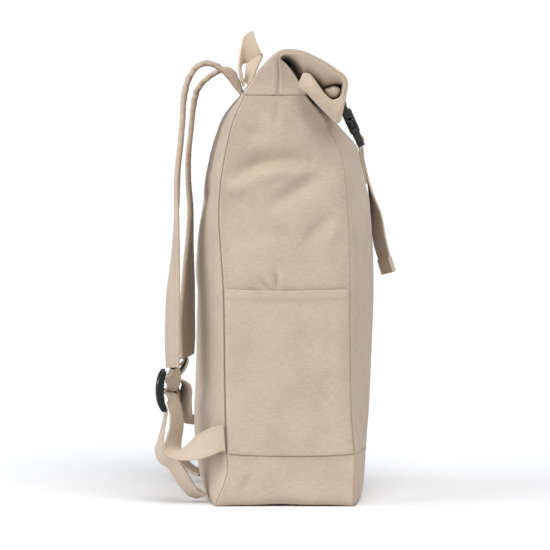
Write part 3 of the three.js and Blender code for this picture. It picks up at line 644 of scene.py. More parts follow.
def canvas(name, rgb, seam_tone_and_shade=(0.135, 0.098, 0.066)):
    """Plain-woven cotton canvas: 0.9 mm yarns with slubs along both ways."""
    mat, tree, shader = nodes_of(name)
    g = Net(tree)
    uv = g.coords("UV")
    mm = g.stretch(uv, (1000, 1000, 1000))
    x, y = g.split(mm)[:2]
    pitch = 0.9
    weave = g.math("MULTIPLY", g.math("SINE", g.math("MULTIPLY", x, 2 * PI / pitch)),
                   g.math("SINE", g.math("MULTIPLY", y, 2 * PI / pitch)))
    warp = g.noise(g.stretch(mm, (1 / 1.2, 1 / 5.5, 1)), 1.0, 3.0, 0.7)
    weft = g.noise(g.stretch(mm, (1 / 8.0, 1 / 1.1, 1)), 1.0, 3.0, 0.7)
    slub = g.math("ADD", g.math("MULTIPLY", warp, 0.38), g.math("MULTIPLY", weft, 0.62))
    fleck = g.ramp(g.noise(mm, 0.9, 3.0, 0.7), 0.30, 0.75)
    cloud = g.noise(mm, 0.022, 3.0, 0.5)
    tone = g.math("ADD", g.math("MULTIPLY", g.ramp(slub, 0.34, 0.66), 0.55),
                  g.math("ADD", g.math("MULTIPLY", fleck, 0.15), g.math("MULTIPLY", g.ramp(cloud, 0.3, 0.7), 0.30)))
    body = g.mix(tone, shade(rgb, 0.77), shade((rgb[0], rgb[1] * 1.003, rgb[2] * 1.01), 1.23))
    speck = g.ramp(g.noise(g.stretch(mm, (0.5, 0.62, 1)), 1.0, 1.0, 0.4), 0.76, 0.83)
    body = g.mix(g.math("MULTIPLY", speck, 0.22), body, (rgb[0] * 0.62, rgb[1] * 0.56, rgb[2] * 0.48, 1))
    # The seam attribute darkens the colour along seams, grooves and fold lines: partly the seams' own darker tone,
    # partly painted shade in the grooves and creases.
    line = g.math("MULTIPLY", g.attribute("seam"), 0.8)
    g.put(shader.inputs["Base Color"], g.mix(line, body, (*seam_tone_and_shade, 1)))
    g.put(shader.inputs["Roughness"], g.math("ADD", g.math("MULTIPLY", slub, 0.12), 0.84))
    height = g.math("ADD", g.math("MULTIPLY", weave, 0.22), g.math("MULTIPLY", slub, 1.8))
    g.put(shader.inputs["Normal"], g.bump(height, 0.60, 0.00030))
    shader.inputs["Sheen Weight"].default_value = 0.12
    shader.inputs["Sheen Roughness"].default_value = 0.5
    shader.inputs["Specular IOR Level"].default_value = 0.25
    return mat


def webbing(name, rgb):
    """Woven cotton tape: ribs across, fine chevrons, firm edges."""
    mat, tree, shader = nodes_of(name)
    g = Net(tree)
    mm = g.stretch(g.coords("UV"), (1000, 1000, 1000))
    x, y = g.split(mm)[:2]
    lane = g.math("ABSOLUTE", g.math("SINE", g.math("MULTIPLY", x, PI / 3.1)))
    rib = g.math("SINE", g.math("MULTIPLY", g.math("ADD", y, g.math("MULTIPLY", lane, 0.9)), 2 * PI / 1.7))
    cord = g.math("SINE", g.math("MULTIPLY", x, 2 * PI / 1.0))
    yarn = g.noise(g.stretch(mm, (1 / 0.7, 1 / 7.0, 1)), 1.0, 2.0, 0.6)
    cross = g.noise(g.stretch(mm, (1 / 9.0, 1 / 0.8, 1)), 1.0, 2.0, 0.6)
    tone = g.math("ADD", g.math("MULTIPLY", g.ramp(yarn, 0.3, 0.7), 0.4),
                  g.math("ADD", g.math("MULTIPLY", g.ramp(cross, 0.3, 0.7), 0.35), g.math("MULTIPLY", g.ramp(rib, -1, 1), 0.25)))
    body = g.mix(tone, shade(rgb, 0.90), shade(rgb, 1.08))
    # The seam attribute darkens the tape: partly its woven edge lines, partly painted shade at its edges and folds.
    line = g.math("MULTIPLY", g.attribute("seam"), 0.6)
    g.put(shader.inputs["Base Color"], g.mix(line, body, (rgb[0] * 0.55, rgb[1] * 0.5, rgb[2] * 0.44, 1)))
    g.put(shader.inputs["Roughness"], g.math("ADD", g.math("MULTIPLY", yarn, 0.1), 0.82))
    height = g.math("ADD", g.math("MULTIPLY", rib, 0.35), g.math("ADD", g.math("MULTIPLY", cord, 0.14), g.math("MULTIPLY", yarn, 0.5)))
    g.put(shader.inputs["Normal"], g.bump(height, 0.6, 0.00035))
    shader.inputs["Sheen Weight"].default_value = 0.15
    shader.inputs["Sheen Roughness"].default_value = 0.5
    shader.inputs["Specular IOR Level"].default_value = 0.25
    return mat


def thread(name, rgb):
    mat, tree, shader = nodes_of(name)
    g = Net(tree)
    n = g.noise(g.coords("Object"), 2600.0, 2.0, 0.6)
    g.put(shader.inputs["Base Color"], g.mix(g.ramp(n, 0.3, 0.7), shade(rgb, 0.86), shade(rgb, 1.1)))
    shader.inputs["Roughness"].default_value = 0.7
    g.put(shader.inputs["Normal"], g.bump(n, 0.4, 0.0001))
    return mat


def plastic(name, rgb):
    """Moulded acetal: a fine matte grain with faintly worn, greyer high spots."""
    mat, tree, shader = nodes_of(name)
    g = Net(tree)
    at = g.coords("Object")
    grain = g.noise(at, 1500.0, 3.0, 0.6)
    patch = g.noise(at, 90.0, 3.0, 0.55)
    wear = g.ramp(g.noise(at, 420.0, 4.0, 0.7), 0.55, 0.78)
    body = g.mix(g.ramp(patch, 0.3, 0.7), shade(rgb, 0.85), shade(rgb, 1.25))
    body = g.mix(g.math("MULTIPLY", wear, 0.18), body, (0.075, 0.08, 0.082, 1))
    g.put(shader.inputs["Base Color"], body)
    g.put(shader.inputs["Roughness"], g.math("ADD", g.math("MULTIPLY", patch, 0.16), 0.34))
    g.put(shader.inputs["Normal"], g.bump(grain, 0.25, 0.00012))
    shader.inputs["Specular IOR Level"].default_value = 0.45
    return mat


CANVAS_RGB = (0.458, 0.367, 0.282)
WEB_RGB = (0.500, 0.408, 0.318)
M_SIDE = canvas("canvas_side", CANVAS_RGB)
M_FACE = canvas("canvas_face", CANVAS_RGB)
M_BASE = canvas("canvas_base", shade(CANVAS_RGB, 1.01)[:3])
M_COLLAR = canvas("canvas_collar", shade(CANVAS_RGB, 1.03)[:3])
M_POCKET = canvas("canvas_pocket", shade(CANVAS_RGB, 1.01)[:3])
M_STRAP = canvas("canvas_strap", shade(CANVAS_RGB, 0.99)[:3])
M_WEB = webbing("cotton_webbing", WEB_RGB)
# The grab handle takes the same webbing painted 1.52 times lighter: painted light on its upturned, lit cap.
M_HANDLE_LIT = webbing("handle_webbing_painted_light", shade(WEB_RGB, 1.52)[:3])
M_THREAD = thread("sewing_thread", (0.50, 0.41, 0.31))
M_PLASTIC = plastic("black_plastic", (0.020, 0.0213, 0.0218))
# The ladder locks take the same black plastic at about half the brightness, with a weaker specular: painted shade to
# offset the light they catch.
M_LOCK_SHADED = plastic("lock_plastic_painted_shade", (0.009, 0.0094, 0.0096))
M_LOCK_SHADED.node_tree.nodes["Principled BSDF"].inputs["Specular IOR Level"].default_value = 0.22


# ---------------------------------------------------------------- body faces
def groove(d):
    """Depth of a turned seam's groove at d mm from the seam line."""
    return 1.0 * np.exp(-((d / 0.5) ** 2)) - 0.38 * np.exp(-(((d - 2.6) / 1.5) ** 2))


def seam_z(s, side):
    return BASE_SEAM_Z - (BASE_SEAM_SAG * (1 - s * s) if side else 0.0)


def corner_in(z):
    """How far the front corner seam is drawn in as the cloth rounds the corner."""
    return 5.0 * np.clip((z - 60) / 60, 0, 1) * np.clip((397 - z) / 26, 0, 1)


def side_relief(y, z, seed):
    calm = np.clip((z - 205) / 14, 0, 1)
    d = folds(SIDE_FOLDS, y, z) * np.clip((z - 196) / 14, 0, 1) + folds(LOW_FOLDS, y, z) * (1 - calm)
    return d + rumple(y, z, seed) * (0.35 + 0.35 * calm)


def side_point(sign, s, z, inset, gap, seamed=True, relief=1.0):
    back, back_seam, front_seam, front, half, bulge = body_at(z)
    y0, y1 = front_seam + inset + gap, back_seam - inset - gap
    y = y0 + (y1 - y0) * (s + 1) / 2
    fade = 1 - np.abs(s) ** 4
    x = half - inset + bulge * (1 - s * s) - corner_in(z) * np.exp(-(((1 + s) * (y1 - y0) / 2 / 9.5) ** 1.2))
    x = x - relief * side_relief(y * (1 if sign < 0 else 0.94) + (0 if sign < 0 else -3), z + (0 if sign < 0 else 4), 3 if sign < 0 else 9) * fade
    if seamed:
        edge = (1 - np.abs(s)) * (y1 - y0) / 2
        soft = np.where(s > 0, 1.0, 0.45 + 0.35 * np.clip((216 - z) / 20, 0, 1))
        x = x - soft * groove(edge) * (1.0 if inset == 0 else 0.2)
        y = y - np.sign(s) * 0.5 * np.exp(-((edge / 0.8) ** 2)) * (1.0 if inset == 0 else 0.2)
    return np.stack([sign * x, y, z + 0 * x], -1)


def face_point(which, s, z, inset, gap, seamed=True):
    back, back_seam, front_seam, front, half, bulge = body_at(z)
    x = s * (half - inset - gap - (corner_in(z) if which == "front" else 0))
    side = 1 if which == "back" else -1
    seam, mid = (back_seam, back) if which == "back" else (front_seam, front)
    y = seam + (mid - seam) * bow(s) - side * inset
    fade = np.clip((1 - np.abs(s)) / 0.14, 0, 1) ** 0.8
    low = np.clip((z - BASE_SEAM_Z) / 12, 0, 1) * np.clip((COLLAR_SEAM_Z - z) / 26, 0, 1)
    table = BACK_FOLDS if which == "back" else FRONT_FOLDS
    mid_clear = 1 - np.exp(-((x / 30) ** 2)) * (1 if which == "front" else 0)
    ease = mid_clear
    y = y - side * ease * fade * low * (folds(table, x, z) + 0.9 * np.clip(rumple(x, z, 21 + side), -0.4, 1))
    if seamed:
        edge = (1 - np.abs(s)) * half
        g = groove(edge) * (1.0 if inset == 0 else 0.2) * (1.0 if which == "back" else 0.5)
        x = x - np.sign(s) * 0.75 * g
        y = y - side * 0.55 * g
    return np.stack([x, y, z + 0 * x], -1)


def spread(span, fine, step):
    """Positions -1..1 across a span in mm, close together near both ends."""
    near = np.array(fine)
    inner = np.linspace(near[-1] + step, span - near[-1] - step, max(int((span - 2 * near[-1]) / step), 3))
    pos = np.concatenate([near, inner, (span - near)[::-1]])
    return 2 * pos / span - 1


FINE = [0, 0.35, 0.7, 1.1, 1.6, 2.2, 3.0, 4.0, 5.4]


def panel_levels(low_fn, s, step, top=COLLAR_SEAM_Z):
    """z grid between the base seam and the collar seam for each column."""
    v = (spread(348.0, FINE, step) + 1) / 2
    low = low_fn(s)
    return low[None, :] + (top - low[None, :]) * v[:, None]


def ends_groove(z, low, high):
    """Groove where a panel is turned in at its lower and upper seams."""
    return groove(z - low) + groove(high - z)


def build_side(name, sign):
    s = spread(128.0, FINE, 2.1)
    z = panel_levels(lambda q: seam_z(q, True) + 0.05, s, 2.1)
    grid = np.broadcast_to(s, z.shape)
    low = seam_z(grid, True)
    outer = side_point(sign, grid, z, 0.0, SEAM_GAP)
    outer[..., 0] -= sign * ends_groove(z, low, COLLAR_SEAM_Z) * 0.27
    inner = side_point(sign, grid, z, CLOTH, SEAM_GAP)
    edge = (1 - np.abs(grid)) * 64
    crisp = np.where(grid > 0, 1.0, (0.08 + 0.2 * np.clip((216 - z) / 20, 0, 1)) * np.clip((326 - z) / 30, 0.15, 1))
    seam = (crisp * np.exp(-((edge / 0.62) ** 2)) + 0.05 * np.exp(-(((z - low) / 0.55) ** 2))
            + 0.04 * np.exp(-(((COLLAR_SEAM_Z - z) / 0.55) ** 2)))
    uv = np.stack([outer[..., 1], z], -1)
    v, f, uv, seam = wall(outer, inner, uv, np.clip(seam, 0, 1))
    return make(name, v, f, M_SIDE, uv, seam, nodes=(name,), slot="canvas")


def build_face(name, which):
    s = spread(290.0, FINE, 3.2)
    z = panel_levels(lambda q: BASE_SEAM_Z + 0.05 + 0 * q, s, 3.0)
    grid = np.broadcast_to(s, z.shape)
    outer = face_point(which, grid, z, 0.0, SEAM_GAP)
    inner = face_point(which, grid, z, CLOTH, SEAM_GAP)
    side = 1 if which == "back" else -1
    outer[..., 1] -= side * ends_groove(z, BASE_SEAM_Z, COLLAR_SEAM_Z) * 0.38
    edge = (1 - np.abs(grid)) * 145
    crisp = 1.0 if which == "back" else 0.12
    seam = (crisp * np.exp(-((edge / 0.62) ** 2)) + 0.2 * np.exp(-(((z - BASE_SEAM_Z) / 0.55) ** 2))
            + 0.12 * np.exp(-(((COLLAR_SEAM_Z - z) / 0.55) ** 2)))
    uv = np.stack([outer[..., 0], z], -1)
    v, f, uv, seam = wall(outer, inner, uv, np.clip(seam, 0, 1))
    return make(name, v, f, M_FACE, uv, seam, nodes=(name,), slot="canvas")


def pocket_point(sign, s, v, layer):
    """The patch pocket over the side panel; v runs from the base seam to the hem."""
    low = seam_z(s, True) + 0.4
    high = POCKET_HEM_Z - 1.2 * (1 - s * s) + 0.5 * noise2(s * 3, 0 * s, 5) * (1 - s * s)
    z = low + (high - low) * v
    slack = POCKET_SLACK * v * v * (1 - s * s)
    down = high - z
    hem = 0.7 / (1 + np.exp((down - 10.2) / 0.45)) - 0.35 * np.exp(-(((down - 9.2) / 0.7) ** 2))
    edge = (1 - np.abs(s)) * 62
    pull = 1.5 * np.exp(-((edge / 1.2) ** 2))
    roll = 0.45 * np.exp(-((down / 0.5) ** 2)) if layer > 0 else 0
    lift = 0.35 + slack + layer + (hem if layer > 0 else 0) - (pull if layer > 0 else 0) - roll
    p = side_point(sign, s, z, 0.0, 0.9, seamed=False)
    p[..., 0] += sign * (np.maximum(lift, 0.12) + 0.25 * rumple(p[..., 1], z, 17) * v * (1 - s**4) * (1 if layer > 0 else 0))
    return p, down, edge


def build_pocket(name, sign):
    s = spread(126.0, FINE, 2.3)
    hem_rows = np.array([0, 0.25, 0.6, 1.2, 2.5, 4.5, 6.5, 8.0, 8.6, 9.2, 9.8, 10.4, 11.2, 12.4, 14])
    v = np.concatenate([np.linspace(0, 1 - 16 / 161, 62), (1 - hem_rows / 161)[::-1]])
    sg, vg = np.meshgrid(s, v)
    outer, down, edge = pocket_point(sign, sg, vg, 1.2)
    inner, _, _ = pocket_point(sign, sg, vg, 0.0)
    low_edge = outer[..., 2] - seam_z(sg, True)
    seam = (0.6 * np.exp(-((edge / 0.6) ** 2)) + 0.16 * np.exp(-(((down - 9.2) / 0.6) ** 2))
            + 0.2 * np.exp(-((low_edge / 0.7) ** 2)))
    outer[..., 0] -= sign * 0.5 * np.exp(-((low_edge / 0.8) ** 2))
    uv = np.stack([outer[..., 1] + 200, outer[..., 2]], -1)
    w = wall(outer, inner, uv, np.clip(seam, 0, 1))
    return make(name, *w[:2], M_POCKET, w[2], w[3], nodes=(name,), slot="canvas")


for name, sign in (("left", -1), ("right", 1)):
    build_side("side_panel_" + name, sign)
    build_pocket("side_pocket_" + name, sign)
build_face("back_panel", "back")
build_face("front_panel", "front")


# ---------------------------------------------------------------- base tray
def base_ring(level, inset, pull=0.0):
    """One closed ring of the base band. level(s, side) gives its heights."""
    out = []
    s = spread(290.0, FINE, 4.0)
    for which in ("back", "side+", "front", "side-"):
        if which in ("back", "front"):
            q = s if which == "back" else -s
            z = level(q, False)
            p = face_point(which, q, z, inset, 0.0, seamed=inset == 0)
        else:
            side = spread(128.0, FINE, 2.6)
            q = -side if which == "side+" else side
            z = level(q, True)
            p = side_point(1 if which == "side+" else -1, q, z, inset, 0.0, seamed=inset == 0)
        out.append(p[:-1])
    ring = np.vstack(out)
    centre = np.array([0, 3.0])
    d = unit(ring[:, :2] - centre)
    ring[:, :2] -= d * pull
    return ring


def arch(ring):
    along = np.where(np.abs(ring[:, 0]) > 128, 1 - ((ring[:, 1] - 2) / 64) ** 2, 0)
    wave = 0.78 + 0.22 * np.sin(ring[:, 1] / 9.0 + 0.6)
    return FLOOR_LIFT * np.clip(along, 0, 1) * wave


rings, ring_seams = [], []
top_of = lambda s, side: seam_z(s, side) - 0.05 + 0 * s
rows = [(0.0, 9.0, 0.0), (0.0, 4.0, 0.0), (0.15, 1.6, 0.1), (0.9, 0.45, 0.35), (2.0, 0.1, 0.5), (3.4, 0, 0.3)]
for height, pull, weight in rows:
    weight *= 0.6
    ring = base_ring(lambda s, side: height + 0 * s, 0.0, pull)
    ring[:, 2] = height + arch(ring) * (1 - 0.55 * min(pull, 4) / 4)
    rings.append(ring)
    ring_seams.append(np.full(len(ring), weight))
band = np.concatenate([np.linspace(0.09, 0.90, 20), 1 - np.array([4.0, 3.0, 2.2, 1.6, 1.1, 0.7, 0.35, 0.0]) / 47])
for f in band:
    ring = base_ring(lambda s, side: 3 + (top_of(s, side) - 3) * f, 0.0)
    top = np.where(np.abs(ring[:, 0]) > 140, 49, 51)
    low_arch = arch(ring) * max(0.0, 1 - f * 2.4)
    ring[:, 2] += low_arch
    near_top = (1 - f) * 47
    ring[:, :2] -= unit(ring[:, :2] - np.array([0, 3.0])) * float(groove(near_top)) * 0.30
    rings.append(ring)
    ring_seams.append(np.full(len(ring), 0.08 * math.exp(-((near_top / 0.55) ** 2))))
for f in band[::-3]:
    ring = base_ring(lambda s, side: 3 + (top_of(s, side) - 3) * f, CLOTH)
    rings.append(ring)
    ring_seams.append(np.zeros(len(ring)))
ring = base_ring(lambda s, side: 2.4 + 0 * s, CLOTH, 8.0)
ring[:, 2] = CLOTH + 0.4
rings.append(ring)
ring_seams.append(np.zeros(len(ring)))
rings = np.array(rings)
corner = np.zeros(rings.shape[1])
count_face, count_side = len(spread(290.0, FINE, 4.0)) - 1, len(spread(128.0, FINE, 2.6)) - 1
marks = np.cumsum([0, count_face, count_side, count_face, count_side])
corner_uv = np.zeros(rings.shape[1])
perimeter = arc(np.vstack([rings[12], rings[12][:1]]))
for m, crisp in zip(marks, (0.8, 0.8, 0.22, 0.22, 0.8)):
    corner = np.maximum(corner, crisp * np.exp(-(((perimeter[:-1] - perimeter[m]) / 0.6) ** 2)))
seams = np.clip(np.array(ring_seams) + corner[None, :] * (rings[..., 2] > 2.5), 0, 1)
uv = np.stack([np.broadcast_to(perimeter[:-1], rings.shape[:2]), rings[..., 2] + 400], -1)
w = tube(rings, uv=uv, seam=seams)
make("base_tray", *w[:2], M_BASE, w[2], w[3], nodes=("base_tray",), slot="canvas")


# ---------------------------------------------------------------- collar
ROLL_PER = 7
roll_rows = dense(ROLL, ROLL_PER)
face_s = np.unique(np.concatenate([np.linspace(-1, 1, 35), -1 + np.array([0.008, 0.02, 0.035]), 1 - np.array([0.008, 0.02, 0.035]),
                                   [-0.97, -0.95, -0.93, -0.91, -0.88, -0.85, 0.85, 0.88, 0.91, 0.93, 0.95, 0.97]]))
side_s = np.linspace(1, -1, 27)


def collar_ring(row, t, inset, length):
    oy, oz, iy, iz, half, mid_y, mid_z, pinch, sag, puff = row
    out, inn = np.array([oy, oz]), np.array([iy, iz])
    centre, d = (out + inn) / 2, (out - inn) / 2
    depth = np.linalg.norm(d)
    n = d / max(depth, 1e-6)
    depth = max(depth - inset, 0.25)
    a = half - inset
    fade = max(0.0, 1 - t / 3)

    def place(x, k, extra=0.0, drop=0.0):
        s = np.clip(np.abs(x) / half, 0, 1)
        m = 1 - s**2.4
        squeeze = 1 - pinch * np.clip((1 - s) / 0.35, 0, 1) ** 0.7
        off = k * depth * squeeze + extra
        y = centre[0] + n[0] * off + mid_y * m
        z = centre[1] + n[1] * off + mid_z * m - drop - FAR_DROP * np.clip(x / half, 0, 1) * min(1.0, t / 4)
        return np.stack([x + 0 * y, y, z], -1)

    x = face_s * a
    reach = np.interp(t, [4, 5.5, 6.6, 7.6, 12], [0.42, 0.34, 0.15, 0.085, 0.07])
    steep = np.clip((1 - np.abs(face_s)) / reach, 0, 1) ** 0.9
    sag = sag * (1 + 0.14 * math.sin(length / 4.6 + 0.8))
    sag = sag * (1 + 0.95 * np.clip((0.88 - np.abs(face_s)) / 0.2, 0, 1) * np.interp(t, [5.5, 6.5], [0, 1]))
    belly = 9.0 * np.clip((1 - np.abs(face_s)) / 0.5, 0, 1) * max(0.0, 1 - abs(t - 2.6) / 2.4)
    soft = 0.9 * rumple(x, np.full_like(x, length), 31) * np.clip((1 - np.abs(face_s)) / 0.06, 0, 1) * min(1.0, t * 0.8)
    calm = 1 - np.exp(-((x / 26) ** 2)) * (1 if 9 < t < 15 else 0)
    crease = 0.7 * noise2(x / 70, np.full_like(x, length / 7.5), 44) * np.clip((1 - np.abs(face_s)) / 0.1, 0, 1) * min(1.0, t * 0.4)
    back = place(x, 1.0, 2.0 * fade * bow(face_s) + (np.minimum(soft + crease, 0.3) * calm if inset == 0 else 0))
    front = place(x[::-1], -1.0, 1.0 * fade * bow(face_s[::-1]) - belly[::-1] - (0.5 * soft[::-1] if inset == 0 else 0), drop=(sag * steep)[::-1])
    rows = [back[:-1]]
    for sgn in (1, -1):
        k = side_s if sgn > 0 else -side_s
        width = depth
        bulge = puff * (1 - np.abs(k) ** 2.6) * (1.0 if width > 4 else 0.75)
        if inset == 0 and t < 4.2:
            # the vertical side seam with its small pleats
            y = k * depth
            seam_y = -0.08 * depth + 0.4
            d_seam = np.abs(y - seam_y)
            shape = 1.5 * min(1.0, depth / 10)
            bulge = bulge - 2.0 * np.exp(-(((k + 0.66) / 0.26) ** 2)) * min(1.0, t / 0.8) * min(1, depth / 8)
            bulge = bulge - 1.1 * np.exp(-((d_seam / 0.8) ** 2)) * shape
            bulge = bulge + 0.55 * np.exp(-(((y - seam_y - 3.2) / 1.6) ** 2)) * shape
            bulge = bulge - 0.5 * np.exp(-(((y - seam_y + 6.5 - t) / 1.8) ** 2)) * shape * min(1, t / 1.2)
            bulge = bulge + 0.5 * np.exp(-(((y - seam_y + 3.4) / 1.6) ** 2)) * shape
            bulge = bulge + 0.8 * rumple(y * 1.6, np.full_like(y, length), 55) * shape * min(1, t)
        elif inset == 0:
            wrinkle = min(1.0, depth / 5)
            bulge = bulge + wrinkle * (0.55 * noise2(k * 1.6, np.full_like(k, length / 9.0), 61)
                                       + 0.3 * noise2(k * 3, np.full_like(k, length / 4.0), 62)) * (1 - np.abs(k) ** 3)
            # the fold line between the two layers of the wrap's edge
            if t < 13.5:
                bulge = bulge - 0.55 * np.exp(-(((k - 0.1) * depth / 0.7) ** 2))
            # the diagonal crease where the wrap turns under
            if 13 < t < 17.5:
                w = 1 - abs(t - 15.2) / 2.3
                bulge = bulge - 2.2 * w * np.exp(-(((k + 0.45) / 0.3) ** 2))
            if 13.5 < t < 21:
                w = math.sin(PI * (t - 13.5) / 7.5)
                bulge = bulge - 0.9 * w * np.exp(-(((k - 0.25 + 0.12 * (t - 17)) / 0.16) ** 2))
        p = place(np.full_like(k, sgn * a), k)
        p[:, 0] += sgn * bulge
        rows.append(p[:-1] if sgn > 0 else p[:-1])
        if sgn > 0:
            rows.append(front[:-1])
    return np.vstack(rows)


centre_line = (roll_rows[:, 0:2] + roll_rows[:, 2:4]) / 2
roll_length = arc(np.column_stack([centre_line, np.zeros(len(centre_line))]))
ts = np.linspace(0, len(ROLL) - 1, len(roll_rows))
outer = np.array([collar_ring(r, t, 0.0, l) for r, t, l in zip(roll_rows, ts, roll_length)])
inner = np.array([collar_ring(r, t, 1.2, l) for r, t, l in zip(roll_rows, ts, roll_length)])
# turned in at the seam, like the panels below
for k in range(3):
    low = outer[k, :, 2].min() - 400.45
    pull = float(groove(np.array(abs(roll_rows[k][1] - 400.45)))) * 0.35
    away = unit(outer[k, :, :2] - np.array([0, 12.7]))
    outer[k, :, :2] -= away * max(pull, 0)
collar_rings = np.vstack([outer, inner[::-1]])
around = arc(outer[10])
around = np.concatenate([around, [around[-1]]])[: outer.shape[1]]
along = np.concatenate([roll_length, roll_length[::-1]])
uv = np.stack([np.broadcast_to(around, collar_rings.shape[:2]), np.broadcast_to(along[:, None], collar_rings.shape[:2]) + 700], -1)
seam = np.zeros(collar_rings.shape[:2])
seam[: len(outer)] += 0.07 * np.exp(-((roll_length[:, None] / 0.8) ** 2))
nb, ns = len(face_s) - 1, len(side_s) - 1
for start, flip in ((nb, 1), (2 * nb + ns, -1)):
    k = (side_s if flip > 0 else -side_s)[:-1]
    for i, (r, t) in enumerate(zip(roll_rows, ts)):
        depth = np.hypot(r[0] - r[2], r[1] - r[3]) / 2
        if t < 4.2:
            y = k * depth - (-0.08 * depth + 0.4)
            seam[i, start:start + ns] += 0.28 * np.exp(-((y / 0.7) ** 2)) * min(1, depth / 6)
        elif t < 13.5:
            # painted shade along the fold line between the wrap's two layers
            seam[i, start:start + ns] += 0.26 * np.exp(-(((k - 0.1) * depth / 0.6) ** 2))
w1 = tube(collar_rings, loop=True, uv=uv, seam=np.clip(seam, 0, 1))
# the inner turn of the roll, seen end-on inside it
xs = np.concatenate([-COIL["half"] + np.array([0, 0.4, 1.2, 2.6, 5, 9, 16]), np.linspace(-130, 130, 21), COIL["half"] - np.array([16, 9, 5, 2.6, 1.2, 0.4, 0])])
ang = np.linspace(0, 2 * PI, 28, endpoint=False)
coil_rings = []
for x in xs:
    e = COIL["half"] - abs(x)
    grow = np.clip(1 - math.exp(-(e + 0.15) / 1.4), 0.12, 1)
    wider, taller = 1 + 0.18 * min(1.0, e / 30), 1 + 0.55 * min(1.0, e / 30)
    r = 1 + 0.07 * np.sin(3 * ang + 0.4) - 0.16 * np.exp(-(((ang - 0.9) / 0.25) ** 2))
    coil_rings.append(np.stack([np.full_like(ang, x), COIL["y"] + COIL["ry"] * grow * wider * r * np.cos(ang) + 1.5 * (1 - (x / 163) ** 2),
                                COIL["z"] + COIL["rz"] * grow * taller * r * np.sin(ang) + 1.0 * (1 - (x / 163) ** 2)], -1))
coil_rings = np.array(coil_rings)
cuv = np.stack([np.broadcast_to(ang * 4.5, coil_rings.shape[:2]) + 900, coil_rings[..., 0] + 200], -1)
# painted shade in the dent of the inner turn, along its crease
w2 = tube(coil_rings, uv=cuv, seam=np.broadcast_to(0.4 * np.exp(-(((ang - 0.9) / 0.12) ** 2)), coil_rings.shape[:2]))
v2, f2 = w2[:2]
q2 = np.array([[f[0], f[1], f[2], f[-1]] for f in f2])
if signed_volume(v2, q2) < 0:
    f2 = [list(reversed(f)) for f in f2]
q1 = np.array([[f[0], f[1], f[2], f[-1]] for f in w1[1]])
f1 = w1[1] if signed_volume(w1[0], q1) > 0 else [list(reversed(f)) for f in w1[1]]
v, f, uv, seam = merge([(w1[0], f1, w1[2], w1[3]), (v2, f2, w2[2], w2[3])])
collar = make("roll_collar", v, f, M_COLLAR, uv, seam, nodes=("roll_collar",), slot="canvas")


# ---------------------------------------------------------------- straps and hardware
def rounded(sections, closed=True):
    return np.array(sections)


def bar(p0, p1, radius, flat=1.0, sides=24):
    """A round bar with softened ends between two points (mm)."""
    p0, p1 = np.array(p0, float), np.array(p1, float)
    d = unit(p1 - p0)
    side = unit(np.cross(d, np.array([0, 0, 1.0])))
    up = np.cross(side, d)
    ang = np.linspace(0, 2 * PI, sides, endpoint=False)
    length = np.linalg.norm(p1 - p0)
    out = []
    for e in (0, 0.3, 1, length / 2, length - 1, length - 0.3, length):
        k = 0.75 if e in (0, length) else (0.93 if e in (0.3, length - 0.3) else 1)
        out.append(p0 + d * e + radius * k * (np.cos(ang)[:, None] * side + flat * np.sin(ang)[:, None] * up))
    return tube(np.array(out))


def rail(profile, x0, x1, place):
    """A flat moulded rail: its profile swept from x0 to x1 with soft edges."""
    centre = profile.mean(0)
    out = []
    d = np.roll(profile, -1, 0) - np.roll(profile, 1, 0)
    normal = unit(np.stack([d[:, 1], -d[:, 0]], -1))
    area = 0.5 * np.sum(profile[:, 0] * np.roll(profile[:, 1], -1) - np.roll(profile[:, 0], -1) * profile[:, 1])
    normal *= 1 if area > 0 else -1
    for x, inset in ((x0, 0.75), (x0 + 0.12, 0.42), (x0 + 0.4, 0.14), (x0 + 0.85, 0.0), (x1 - 0.85, 0.0), (x1 - 0.4, 0.14), (x1 - 0.12, 0.42), (x1, 0.75)):
        q = profile - normal * inset
        out.append(place(x, q[:, 0], q[:, 1]))
    return tube(np.array(out))


def outward(parts):
    """Turns every closed part of a piece to face out."""
    done = []
    for v, f, uv, seam in parts:
        q = np.array([[a[0], a[1], a[2], a[-1]] for a in f])
        if signed_volume(v, q) < 0:
            f = [list(reversed(a)) for a in f]
        done.append((v, f, uv, seam))
    return done


def thread_piece(name, lines, **kw):
    v, f, uv, seam = stitches(lines, **kw)
    return make(name, v, f, M_THREAD, uv, seam, slot="canvas")


